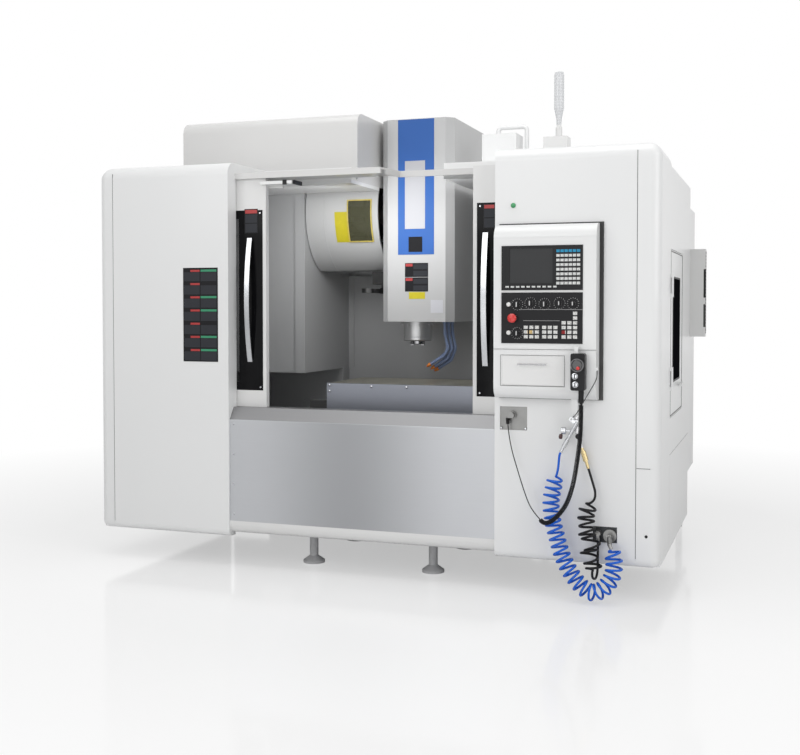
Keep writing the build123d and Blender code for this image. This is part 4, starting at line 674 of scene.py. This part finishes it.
def grown(name, tree, points=(), **values):
    # runs one tree on a line of points, or on none, and returns its result as a plain mesh
    seed = bpy.data.meshes.new(name + "Seed")
    seed.from_pydata([tuple(p) for p in points], [(k, k + 1) for k in range(len(points) - 1)], [])
    holder = shown(bpy.data.objects.new(name + "Seed", seed))
    modifier = holder.modifiers.new("grow", "NODES")
    modifier.node_group = tree
    for item in tree.interface.items_tree:
        if item.item_type == "SOCKET" and item.in_out == "INPUT" and item.name in values:
            modifier[item.identifier] = values[item.name]
    bpy.context.view_layer.update()
    mesh = bpy.data.meshes.new_from_object(holder.evaluated_get(bpy.context.evaluated_depsgraph_get()))
    bpy.data.objects.remove(holder)
    mesh.name = name
    return mesh


screws = screwTree(chrome)
screwRows = {
    # name: (body, start, step, count, the way the heads face)
    "doorScrewsLeft": ("left_leaf", (-600, 100.6, 955), (0, 0, 959), 2, (0, -1, 0)),
    "doorScrewsRight": ("right_leaf", (650, 100.6, 955), (0, 0, 959), 2, (0, -1, 0)),
    "postScrews": ("enclosure", (-722, 954, 1020), (0, 0, 186), 6, (0, -1, 0)),
    "wallScrewsLeft": ("enclosure", (-1000, 1576, 760), (0, 0, 260), 6, (0, -1, 0)),
    "wallScrewsRight": ("enclosure", (620, 1576, 760), (0, 0, 260), 6, (0, -1, 0)),
    "apronScrewsLeft": ("enclosure", (-720, 9.8, 260), (0, 0, 165), 4, (0, -1, 0)),
    "flangeScrews": ("enclosure", (790, -0.2, 792), (124, 0, 0), 2, (0, -1, 0)),
    "hoodScrews": ("enclosure", (-1300, 557.6, 2140), (218, 0, 0), 6, (0, -1, 0)),
    "rearDoorScrews": ("enclosure", (560, 2060.4, 420), (192, 0, 0), 6, (0, 1, 0)),
}
for rowName, (bodyName, start, step, count, outward) in screwRows.items():
    mesh = grown(rowName, screws, Start=place(*start), Step=Vector(step) * mm, Count=count, Radius=6.0 * mm,
                 Height=3.0 * mm, Facing=Vector(outward))
    finished(rowName, mesh, None, bodyName)
print("screw rows grown:", len(screwRows))


# ---- camera, lamps and floor ----

lookAt = {"place": (2154, -5426, 1395), "turn": 19.54, "dip": 1.71, "lens": 50.04, "shiftX": 0.0051, "shiftY": -0.046}
eye = bpy.data.cameras.new("photoCamera")
eye.lens = lookAt["lens"]
eye.sensor_width = 36.0
eye.shift_x = lookAt["shiftX"]
eye.shift_y = lookAt["shiftY"]
eye.clip_end = 200.0
camera = shown(bpy.data.objects.new("photoCamera", eye))
camera.location = place(*lookAt["place"])
camera.rotation_euler = (math.radians(90 - lookAt["dip"]), 0, math.radians(lookAt["turn"]))
bpy.context.scene.camera = camera

lampPlan = {
    # name: (place in mm, aim in mm, width, height, watts)
    "frontSoftbox": ((-1800, -5200, 3600), (0, 0, 1200), 4.0, 3.0, 70),
    "rightSoftbox": ((4600, -2200, 2900), (900, 300, 1100), 3.0, 3.0, 60),
    "topSoftbox": ((200, -300, 5200), (0, 700, 1200), 4.0, 3.0, 75),
    "lowFill": ((900, -4600, 700), (200, 600, 900), 3.0, 1.2, 16),
}


def hangLamp(name, spot, aim, wide, high, watts):
    lamp = bpy.data.lights.new(name, "AREA")
    lamp.shape = "RECTANGLE"
    lamp.size, lamp.size_y = wide, high
    lamp.energy = watts
    holder = shown(bpy.data.objects.new(name, lamp))
    holder.location = place(*spot)
    holder.rotation_euler = (place(*aim) - place(*spot)).to_track_quat("-Z", "Y").to_euler()
    return holder


for lampName, plan in lampPlan.items():
    hangLamp(lampName, *plan)

skyStrength = 0.42
sky = bpy.data.worlds.new("studio")
bpy.context.scene.world = sky
sky.use_nodes = True
air = Wiring(sky.node_tree)
rays = air.node("ShaderNodeLightPath")
white = rays["Is Camera Ray"].math("MAXIMUM", rays["Is Glossy Ray"]).math("MAXIMUM", rays["Is Transmission Ray"])
level = air.node("ShaderNodeMapRange", {}, {"Value": white, "To Min": skyStrength, "To Max": 1.0})["Result"]
glow = air.node("ShaderNodeBackground", {}, {"Color": (1, 1, 1, 1), "Strength": level})["Background"]
air.node("ShaderNodeOutputWorld", {}, {"Surface": glow})
bpy.context.scene.view_settings.view_transform = "Standard"


def studioFloor():
    # white lacquer: part of it always shows as white, the rest carries the shadow and the reflection
    finish = Finish("studioFloor", **{"Base Color": (0.93, 0.93, 0.93, 1), "Roughness": 0.09, "IOR": 1.45})
    seen = finish.node("ShaderNodeLightPath")["Is Camera Ray"]
    white = finish.node("ShaderNodeEmission", {}, {"Color": (1, 1, 1, 1), "Strength": 1.0})["Emission"]
    x, y, z = finish.axes()
    away = ((x * x + y * y).math("SQRT") - 2.4) / 3.2
    fade = away.clamped() * 0.52 + 0.48
    mixed = finish.node("ShaderNodeMixShader", {}, {0: seen * fade, 1: finish.shader["BSDF"], 2: white})
    out = next(n for n in finish.tree.nodes if n.type == "OUTPUT_MATERIAL")
    finish.tree.links.new(mixed["Shader"].socket, out.inputs["Surface"])
    mesh = bpy.data.meshes.new("studioFloor")
    corners = [(-30, -30, ground), (30, -30, ground), (30, 30, ground), (-30, 30, ground)]
    mesh.from_pydata(corners, [], [(0, 1, 2, 3)])
    floor = shown(bpy.data.objects.new("studioFloor", mesh))
    mesh.materials.append(finish.material)


studioFloor()
print("camera, lamps and floor ready")


# ---- cords: each follows the route that its solid has ----

pendantLead = [(830, -26, 814), (836, -30, 760), (857, -45, 678), (885, -62, 604), (910, -80, 540), (936, -98, 479),
               (960, -114, 431), (985, -126, 400), (1017.7, -137.9, 368.3)]
pendantCurl = [(1018, -138, 368), (1038.8, -145.6, 347.8), (1078, -151, 364), (1114, -152, 400), (1146, -151, 444),
               (1168, -150, 501), (1185, -147, 568), (1197, -144, 650), (1209, -139, 740), (1214.5, -135, 840),
               (1214.5, -135, 932)]
blueLead = [(1103.55, -64, 689.26), (1097, -64, 676.9), (1095, -66, 640), (1091.7, -70.5, 602), (1084, -72, 572)]
blueCoil = [(1084, -72, 572), (1064, -76, 494), (1058, -79, 430), (1072, -84, 343), (1092, -90, 277),
            (1115, -98, 202), (1152, -106, 128), (1206, -110, 56), (1267, -112, 18), (1326, -110, 47),
            (1362, -102, 101), (1371, -92, 150), (1366, -82, 200), (1353, -76, 232)]
blackLead = [(1233.25, -30, 611.1), (1237.6, -30, 597.8), (1255, -38, 548), (1273, -50, 497), (1268, -60, 462),
             (1246, -66, 447)]
blackCoil = [(1246, -66, 447), (1229, -70, 400), (1231, -76, 353), (1244, -84, 304), (1254, -92, 236),
             (1264, -98, 187), (1266, -102, 123)]
blackTail = [(1266, -102, 123), (1266.87, -103.75, 95.07), (1275, -62, 78), (1280, -31, 100), (1281, -27, 160),
             (1281, -26, 256)]
gunLanyard = [(1284, -95, 1094), (1284, -95, 1078), (1285, -110, 1056), (1268, -118, 1020), (1236, -112, 968),
              (1205, -92, 915), (1176, -72, 872), (1160, -60, 860)]


def smoothCurve(name, points, bevel=0.0, steps=4, sides=2):
    curve = bpy.data.curves.new(name, "CURVE")
    curve.dimensions = "3D"
    curve.resolution_u = steps
    curve.bevel_depth = bevel
    curve.bevel_resolution = sides
    curve.use_fill_caps = bevel > 0
    spline = curve.splines.new("NURBS")
    spline.points.add(len(points) - 1)
    for point, spot in zip(spline.points, points):
        point.co = (*spot, 1.0)
    spline.order_u = 3
    spline.use_endpoint_u = True
    return shown(bpy.data.objects.new(name, curve))


def lineOf(points, steps=12):
    # the smooth line through a route, read back as points
    holder = smoothCurve("routeLine", points, steps=steps)
    bpy.context.view_layer.update()
    mesh = bpy.data.meshes.new_from_object(holder)
    line = [v.co.copy() for v in mesh.vertices]
    bpy.data.objects.remove(holder)
    bpy.data.meshes.remove(mesh)
    return line


def winding(route, turns, radius, ease=0.6, perTurn=14, wobble=None):
    # helix about a route's own smooth line, growing out of it and closing into it
    line = lineOf([place(*p) for p in route])
    lengths = [0.0]
    for a, b in zip(line, line[1:]):
        lengths.append(lengths[-1] + (b - a).length)
    total = lengths[-1]
    count = int(turns * perTurn)
    points = []
    side = (line[1] - line[0]).orthogonal().normalized()
    index = 0
    for k in range(count + 1):
        at = total * k / count
        while index < len(line) - 2 and lengths[index + 1] < at:
            index += 1
        share = (at - lengths[index]) / max(1e-9, lengths[index + 1] - lengths[index])
        spot = line[index].lerp(line[index + 1], min(1.0, share))
        ahead = line[min(len(line) - 1, index + 3)] - line[max(0, index - 2)]
        ahead.normalize()
        side = (side - ahead * side.dot(ahead)).normalized()
        other = ahead.cross(side)
        turn = 2 * math.pi * k / perTurn
        done = k / perTurn
        left = turns - done
        size = radius * mm
        for near in (done, left):
            if near < ease:
                size *= math.sin(math.pi / 2 * near / ease)
        shift = wobble(done) if wobble else Vector((0, 0, 0))
        points.append(spot + (side * math.cos(turn) + other * math.sin(turn)) * size + shift)
    return points


def lengthOf(line):
    return sum((b - a).length for a, b in zip(line, line[1:]))


def tubeMesh(name, points, diameter, finish, steps=4, sides=2):
    # round tube on a cord's own spline, as a plain mesh, and the line that it follows
    holder = smoothCurve(name + "Curve", points, diameter / 2 * mm, steps, sides)
    bpy.context.view_layer.update()
    mesh = bpy.data.meshes.new_from_object(holder)
    bpy.data.objects.remove(holder)
    mesh.name = name
    mesh.materials.clear()
    mesh.materials.append(finish.material)
    for face in mesh.polygons:
        face.use_smooth = True
    return mesh, lineOf(points, steps)


def layCord(name, points, diameter, finish, replaced, body=None, across=None):
    mesh, line = tubeMesh(name, points, diameter, finish)
    cord = shown(bpy.data.objects.new(name, mesh))
    if across:
        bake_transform(cord)
    else:
        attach(cord, body)
    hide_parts(*replaced)
    long = lengthOf(line)
    print(name, "length", round(long, 3), "points", len(points), "faces", len(mesh.polygons))


def steps(points):
    return [place(*p) for p in points]


blueSpring = {"diameter": 12.0, "turns": 25.5, "radius": 38.0}
bluePoints = winding(blueCoil[::-1], blueSpring["turns"], blueSpring["radius"])
bluePoints += steps(blueLead[::-1])[1:]
layCord("blueHose", bluePoints, blueSpring["diameter"], bluePipe, ("blue_lead", "blue_coil"),
        across=("enclosure", "console", tuple(place(1084, -72, 300)), tuple(place(1100, -64, 640))))

blackSpring = {"diameter": 12.0, "turns": 9.5, "radius": 38.0}


def tangle(turn):
    # the lower turns hang unevenly
    slack = max(0.0, 1.0 - abs(turn - 3.0) / 4.0)
    return Vector((math.sin(turn * 2.1) * 15, math.cos(turn * 1.7) * 6, math.sin(turn * 2.9 + 1) * 13)) * slack * mm


blackPoints = steps(blackTail[::-1])[:-1]
blackPoints += winding(blackCoil[::-1], blackSpring["turns"], blackSpring["radius"], wobble=tangle)
blackPoints += steps(blackLead[::-1])[1:]
layCord("blackHose", blackPoints, blackSpring["diameter"], blackRubber,
        ("black_lead", "black_coil", "black_tail"),
        across=("enclosure", "console", tuple(place(1240, -70, 300)), tuple(place(1237, -40, 590))))

curlSpring = {"drawn": 5.0, "turns": 118, "radius": 9.4}
curlPoints = steps(pendantLead)[:-1]
curlPoints += winding(pendantCurl, curlSpring["turns"], curlSpring["radius"], 1.0, perTurn=12)
layCord("pendantCable", curlPoints, curlSpring["drawn"], blackRubber,
        ("pendant_lead", "pendant_curl"), across=("enclosure", "console", tuple(place(840, -30, 700)), tuple(place(1212, -140, 880))))

layCord("gunStrap", steps(gunLanyard), 4.0, blackRubber, ("gun_lanyard",), body="console")
print("cords laid")


# ---- chamber light, so that the inside reads as it does with its work lamps on ----

workLamps = {
    # name: (place in mm, aim in mm, width, height, watts)
    "workLampLeft": ((-300, 420, 1960), (-500, 1500, 900), 0.9, 0.35, 4.2),
    "workLampRight": ((460, 420, 2040), (250, 1600, 800), 0.6, 0.35, 2.8),
}
for lampName, plan in workLamps.items():
    hidden = hangLamp(lampName, *plan)
    hidden.visible_camera = False
    hidden.visible_glossy = False


# ---- plates and sheets on the covers, with plain fields ----

badgePaint = moulded("badgePaint", (0.008, 0.008, 0.010), 0.3, 300.0, 0.05, 0.0, 0.2)
cellPaint = moulded("cellPaint", (0.028, 0.030, 0.036), 0.4, 300.0, 0.05, 0.0, 0.2)
cellRed = moulded("cellRed", (0.42, 0.03, 0.03), 0.35, 300.0, 0.05)
cellGreen = moulded("cellGreen", (0.03, 0.26, 0.13), 0.35, 300.0, 0.05)
yellowPaint = moulded("yellowPaint", (0.58, 0.50, 0.03), 0.4, 300.0, 0.05, 0.0, 0.2)
goldFrame = moulded("goldFrame", (0.62, 0.50, 0.12), 0.28, 300.0, 0.05, 0.5)

frontPlates = {
    # name: (body, finish, x0, x1, z0, z1, y of the surface, thickness, edge)
    "bluePanel": ("head", blueCoat, -65, 161, 1710, 2512, 865, 1.6, 0.6),
    "whiteInset": ("head", insetPaint, -21, 105, 1863, 2266, 863.4, 0.9, 0.3),
    "darkBadge": ("head", badgePaint, 2, 88, 1726, 1816, 863.4, 1.8, 0.7),
    "upperDataPlate": ("head", badgePaint, -21, 124, 1577, 1660, 865, 1.2, 0.4),
    "lowerDataPlate": ("head", badgePaint, -21, 124, 1490, 1574, 865, 1.2, 0.4),
    "yellowPlate": ("head", yellowPaint, 4, 105, 1446, 1487, 865, 1.0, 0.3),
    "whitePlate": ("head", platePaint, 140, 217, 1363, 1440, 865, 1.4, 0.5),
    "leftDoorPlate": ("left_leaf", badgePaint, -695, -613, 1804, 1938, 101, 1.4, 0.5),
    "rightDoorPlate": ("right_leaf", badgePaint, 667, 730, 1800, 1924, 101, 1.4, 0.5),
    "cabinetSheet": ("enclosure", badgePaint, -1024, -808, 1096, 1614, 0, 1.2, 0.4),
}
for plateName, (body, finish, x0, x1, z0, z1, y, thick, edge) in frontPlates.items():
    plate = boxMesh(plateName, (x0, y - thick, z0), (x1, y - 0.05, z1), edge)
    finished(plateName, plate, finish, body)

sheetRow = {"first": 1102, "pitch": 73, "height": 50, "cap": 12}
capFoot = sheetRow["first"] + sheetRow["height"] + 2


def sheetStrips(x0, x1, foot, height, rows):
    return [(x0, x1, foot + sheetRow["pitch"] * k, foot + sheetRow["pitch"] * k + height, -1.2) for k in rows]


plateCells = {
    # name: (body, finish, cells as x0, x1, z0, z1, y)
    "headCells": ("head", cellPaint, [(32, 119, z + 4, z + 34, 863.8) for z in (1492, 1532, 1579, 1619)]),
    "headCaps": ("head", cellRed, [(-17, 27, z, z + 16, 863.8) for z in (1554, 1640)]),
    "leftDoorCells": ("left_leaf", cellPaint, [(-690, -618, 1809, 1856, 99.6), (-690, -618, 1862, 1908, 99.6)]),
    "leftDoorCap": ("left_leaf", cellRed, [(-690, -618, 1913, 1933, 99.6)]),
    "rightDoorCells": ("right_leaf", cellPaint, [(672, 725, 1805, 1850, 99.6), (672, 725, 1856, 1896, 99.6)]),
    "rightDoorCap": ("right_leaf", cellRed, [(672, 725, 1901, 1919, 99.6)]),
    "sheetCells": ("enclosure", cellPaint, sheetStrips(-1018, -920, sheetRow["first"], sheetRow["height"], range(7))
                   + sheetStrips(-914, -816, sheetRow["first"], sheetRow["height"], range(7))),
    "sheetGreenCaps": ("enclosure", cellGreen, sheetStrips(-914, -816, capFoot, sheetRow["cap"], (0, 1, 3, 4, 6))),
    "sheetRedCaps": ("enclosure", cellRed, sheetStrips(-978, -920, capFoot, sheetRow["cap"] - 1, range(7))),
}
for cellName, (body, finish, cells) in plateCells.items():
    meshes = [boxMesh(cellName, (x0, y - 0.5, z0), (x1, y - 0.02, z1), 0.15, 1) for x0, x1, z0, z1, y in cells]
    finished(cellName, joined(cellName, meshes), finish, body)
print("plates placed:", len(frontPlates) + len(plateCells))


# ---- drum: curved plate and the frame round its window ----

drumShape = {"centreY": 1350.0, "centreZ": 1990.0}
drumShape["radius"] = drumShape["centreY"] - (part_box("magazine_window")[0][1] - zero[1]) / mm


def rolledPlate(name, x0, x1, z0, z1, lift, thick, across=10):
    # plate rolled round the drum's front, between two heights
    maker = bmesh.new()
    rows = []
    for radius in (drumShape["radius"] + lift, drumShape["radius"] + lift + thick):
        row = []
        for k in range(across + 1):
            z = z0 + (z1 - z0) * k / across
            y = drumShape["centreY"] - math.sqrt(radius ** 2 - (z - drumShape["centreZ"]) ** 2)
            row.append([maker.verts.new(place(x, y, z)) for x in (x0, x1)])
        rows.append(row)
    inner, outer = rows
    for k in range(across):
        maker.faces.new((outer[k][0], outer[k][1], outer[k + 1][1], outer[k + 1][0]))
        maker.faces.new((inner[k][1], inner[k][0], inner[k + 1][0], inner[k + 1][1]))
        maker.faces.new((inner[k][0], outer[k][0], outer[k + 1][0], inner[k + 1][0]))
        maker.faces.new((outer[k][1], inner[k][1], inner[k + 1][1], outer[k + 1][1]))
    for k in (0, across):
        maker.faces.new((inner[k][0], inner[k][1], outer[k][1], outer[k][0]))
    bmesh.ops.recalc_face_normals(maker, faces=maker.faces[:])
    mesh = bpy.data.meshes.new(name)
    maker.to_mesh(mesh)
    maker.free()
    return mesh


frameParts = [rolledPlate("f", x0, x1, z0, z1, 0.2, 3, across) for x0, x1, z0, z1, across in
              ((-428, -420, 1798, 2058, 10), (-273, -265, 1798, 2058, 10), (-428, -265, 2050, 2058, 2),
               (-428, -265, 1798, 1806, 2))]
finished("windowFrame", joined("windowFrame", frameParts), goldFrame, "enclosure")
drumPlate = rolledPlate("drumPlate", -512, -430, 1800, 1985, -4.6, 1.4)
finished("drumPlate", drumPlate, yellowPaint, "enclosure")


# ---- coolant hoses: segments and nozzle tips on the bent pipes ----

tipProfile = [(0, -8), (10.6, -8), (11.2, -4), (11.2, 6), (8.6, 9), (7.2, 18), (4.6, 22), (3.4, 22), (3.2, 14), (0, 14)]
nozzleRuns = {"tips": ((100, 975, 1050), (118, 1000, 1034), (133, 1025, 1022)), "root": (196, 973), "pitch": (15, 26)}
beads = beadTree(paleBlue)
tipMeshes, beadMeshes = [], []
for k, tip in enumerate(nozzleRuns["tips"]):
    x0, y0 = (root + pitch * k for root, pitch in zip(nozzleRuns["root"], nozzleRuns["pitch"]))
    route = [(x0, y0, 1298), (x0, y0, 1240), (x0 + 22, y0, 1150), (x0 - 6, y0 + 1, tip[2] + 54), tip]
    line = lineOf([place(*p) for p in route], 8)
    beadMeshes.append(grown("beads", beads, line, Spacing=13 * mm, Radius=11.2 * mm, Length=10.5 * mm))
    aim = Vector(tip) - Vector(route[-2])
    tipMeshes.append(turnedMesh("tip", tip, aim, tipProfile, 20))
finished("coolantSegments", joined("coolantSegments", beadMeshes), paleBlue, "head")
finished("coolantTips", joined("coolantTips", tipMeshes), orangePlastic, "head")
print("coolant hoses dressed")


# ---- console: dial marks and the pendant's rings ----

marks = markTree(whitePlastic)
knobs = {"scale": 27.5, "spots": ((895, 1410), (960, 1416), (1030, 1412), (1103, 1416), (1169, 1414), (895, 1270))}
markMeshes = []
for x, z in knobs["spots"]:
    markMeshes.append(grown("marks", marks, Centre=place(x, -107.4, z), Ring=knobs["scale"] * mm, Count=16,
                            Size=Vector((1.0, 1.0, 4.0)) * mm))
finished("dialMarks", joined("dialMarks", markMeshes), whitePlastic, "console")

ringProfile = [(27.5, 0), (31, 0), (31.8, 1.2), (31, 3.2), (28.4, 3.6), (27.5, 2.6), (27.5, 0)]
dialTop = (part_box("pendant_dial")[0][1] - zero[1]) / mm
dialRing = turnedMesh("pendantRing", (1202, dialTop + 2.2, 1121), (0, -1, 0), ringProfile, 40)
finished("pendantRing", dialRing, darkMetal, "dial")
dotProfile = [(0, 0), (8, 0), (8.6, 1), (8, 3), (4, 4), (0, 4.2)]
dialDot = turnedMesh("pendantDot", (1207, dialTop + 1.0, 1107), (0, -1, 0), dotProfile, 24)
finished("pendantDot", dialDot, redPlastic, "dial")
selectorProfile = [(0, 0), (9, 0), (15, 0), (15.6, 1), (15, 4), (12, 5), (11, 9), (9.5, 10.5), (0, 11)]
pendantFace = (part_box("pendant")[0][1] - zero[1]) / mm
turned = [turnedMesh("s", (x, pendantFace + 12, z), (0, -1, 0), selectorProfile, 28)
          for x, z in ((1190, 1068), (1192, 1028))]
finished("pendantSelectors", joined("pendantSelectors", turned), chrome, "console")
print("console dressed")


# ---- right side: service door glass and seal, cooler slots ----

doorGlassPlate = moulded("sideGlass", (0.006, 0.006, 0.007), 0.4, 40.0, 0.0, 0.0, 0.0)
sidePane = boxMesh("sideGlass", (1564.8, 583, 1005), (1567.4, 966, 1552), 0.8)
finished("sideGlass", sidePane, doorGlassPlate, "service_door")
rim = [boxMesh("r", (1566, y0, z0), (1570.4, y1, z1), 1.2) for y0, y1, z0, z1 in
       ((576, 586, 998, 1559), (963, 973, 998, 1559), (586, 963, 998, 1008), (586, 963, 1549, 1559))]
finished("sideSeal", joined("sideSeal", rim), blackRubber, "service_door")
edge = [boxMesh("e", (1566.5, y0, z0), (1570.6, y1, z1), 1.0) for y0, y1, z0, z1 in
        ((469, 474, 829, 1690), (1100, 1105, 829, 1690), (474, 1100, 829, 834), (474, 1100, 1685, 1690))]
finished("sideEdging", joined("sideEdging", edge), blackRubber, "service_door")
slats = slatTree(whiteCoat)
coolerVents = {"side": (1659.2, 1686, 1250), "step": 20.5, "count": 24, "depth": 3.0}
x, y, z = coolerVents["side"]
# near-black backing behind the slats: painted shadow
backing = boxMesh("b", (x - 0.2, 1662, 1236), (x + 0.6, 1710, 1740), 0.2)
finished("coolerShadow", backing, darkGap, "enclosure")
vents = grown("coolerSlats", slats, Start=place(x + 1.6, y, z), Step=Vector((0, 0, coolerVents["step"])) * mm,
              Count=coolerVents["count"], Size=Vector((coolerVents["depth"], 46, 9)) * mm, Tilt=Vector((0, 0.5, 0)))
finished("coolerSlats", vents, None, "enclosure")
print("right side dressed")


# ---- door hangers ----

hangers = [boxMesh("h", (-590, 78, 2066), (-398, 190, 2084), 2.0),
           boxMesh("h", (-590, 118, 2060), (-560, 140, 2106), 1.5)]
finished("doorHanger", joined("doorHanger", hangers), whiteCoat, "left_leaf")
caps = [boxMesh("c", (-452, 74, 2062), (-428, 82, 2088), 1.5), boxMesh("c", (-396, 84, 2064), (-384, 186, 2086), 1.5)]
finished("hangerCaps", joined("hangerCaps", caps), blackPlastic, "left_leaf")
print("door hangers hung")


# ---- seams, lamp lens and gun knobs ----

seamPaint = moulded("seamPaint", (0.05, 0.05, 0.05), 0.6, 500.0, 0.05, 0.0, 0.2)
seams = {
    # name: (body, strips as low and high corners)
    "cabinetSeams": ("enclosure", [
        ((1455.8, 0.7, 178), (1458.2, 2.4, 2150)), ((-1478.2, 0.7, 178), (-1475.8, 2.4, 2150)),
        ((1460, 0.7, 616.3), (1526, 2.4, 618.7))]),
    "sideSeams": ("enclosure", [
        ((1567.4, 462, 629.4), (1569.4, 1532, 631.6)), ((1567.4, 459.4, 140), (1569.4, 461.6, 628)),
        ((-1569.4, 462, 629.4), (-1567.4, 1532, 631.6)), ((-1569.4, 459.4, 140), (-1567.4, 461.6, 628))]),
    "flapOutline": ("console", [
        ((811.2, -107.4, 1011), (812.8, -106.6, 1163)), ((1127.2, -107.4, 1011), (1128.8, -106.6, 1163)),
        ((811.2, -107.4, 1161.4), (1128.8, -106.6, 1163)), ((811.2, -107.4, 1011), (1128.8, -106.6, 1012.6))]),
    "consoleSeams": ("console", [((771, -106.6, 1190.2), (1282, -105.7, 1191.8))]),
}
for seamName, (body, strips) in seams.items():
    meshes = [boxMesh("s", low, high, 0.2, 1) for low, high in strips]
    finished(seamName, joined(seamName, meshes), seamPaint, body)
lensProfile = [(0, 0), (12.5, 0), (13, 2), (11.5, 3.4), (10.4, 3.4), (9.6, 7), (6, 9.4), (0, 10.4)]
plugProfile = [(0, 0), (7, 0), (7.6, 0.8), (6, 2.2), (0, 2.6)]
knobProfile = [(0, 0), (9, 0), (12, 2), (13, 6), (13, 11), (11, 15), (6, 17), (0, 17.4)]
fittings = {
    # name: (body, finish, place in mm, the way it faces, profile, sides, slot)
    "lampLens": ("enclosure", greenLens, (850, -6.8, 1902), (0, -1, 0), lensProfile, 28, "clear_plastic"),
    "postPlug": ("enclosure", blackRubber, (1508, 0.2, 290), (0, -1, 0), plugProfile, 20, "black_plastic"),
    "airKnob": ("console", brownPlastic, (1112, -66, 766), (-1, 0, 0.1), knobProfile, 24, "black_plastic"),
    "coolantKnob": ("console", blackPlastic, (1183, -43, 768), (0.3, -1, 0), knobProfile, 24, "black_plastic"),
}
for fittingName, (body, finish, spot, outward, profile, sides, slotName) in fittings.items():
    finished(fittingName, turnedMesh(fittingName, spot, outward, profile, sides), finish, body)
print("small fittings placed")


# ---- screw heads of the table apron ----

screwProfile = [(0, 0), (6.4, 0), (7.2, 0.8), (6.8, 2.2), (4.6, 3.4), (0, 3.8)]
screwSpots = ((-330, 951), (-330, 917), (-74, 949), (136, 949), (586, 949), (842, 951), (-194, 798), (706, 798))
apronScrews = [turnedMesh("s", (x, 436, z), (0, -1, 0), screwProfile, 18) for x, z in screwSpots]
finished("apronScrews", joined("apronScrews", apronScrews), chrome, "table")
print("table screws placed")
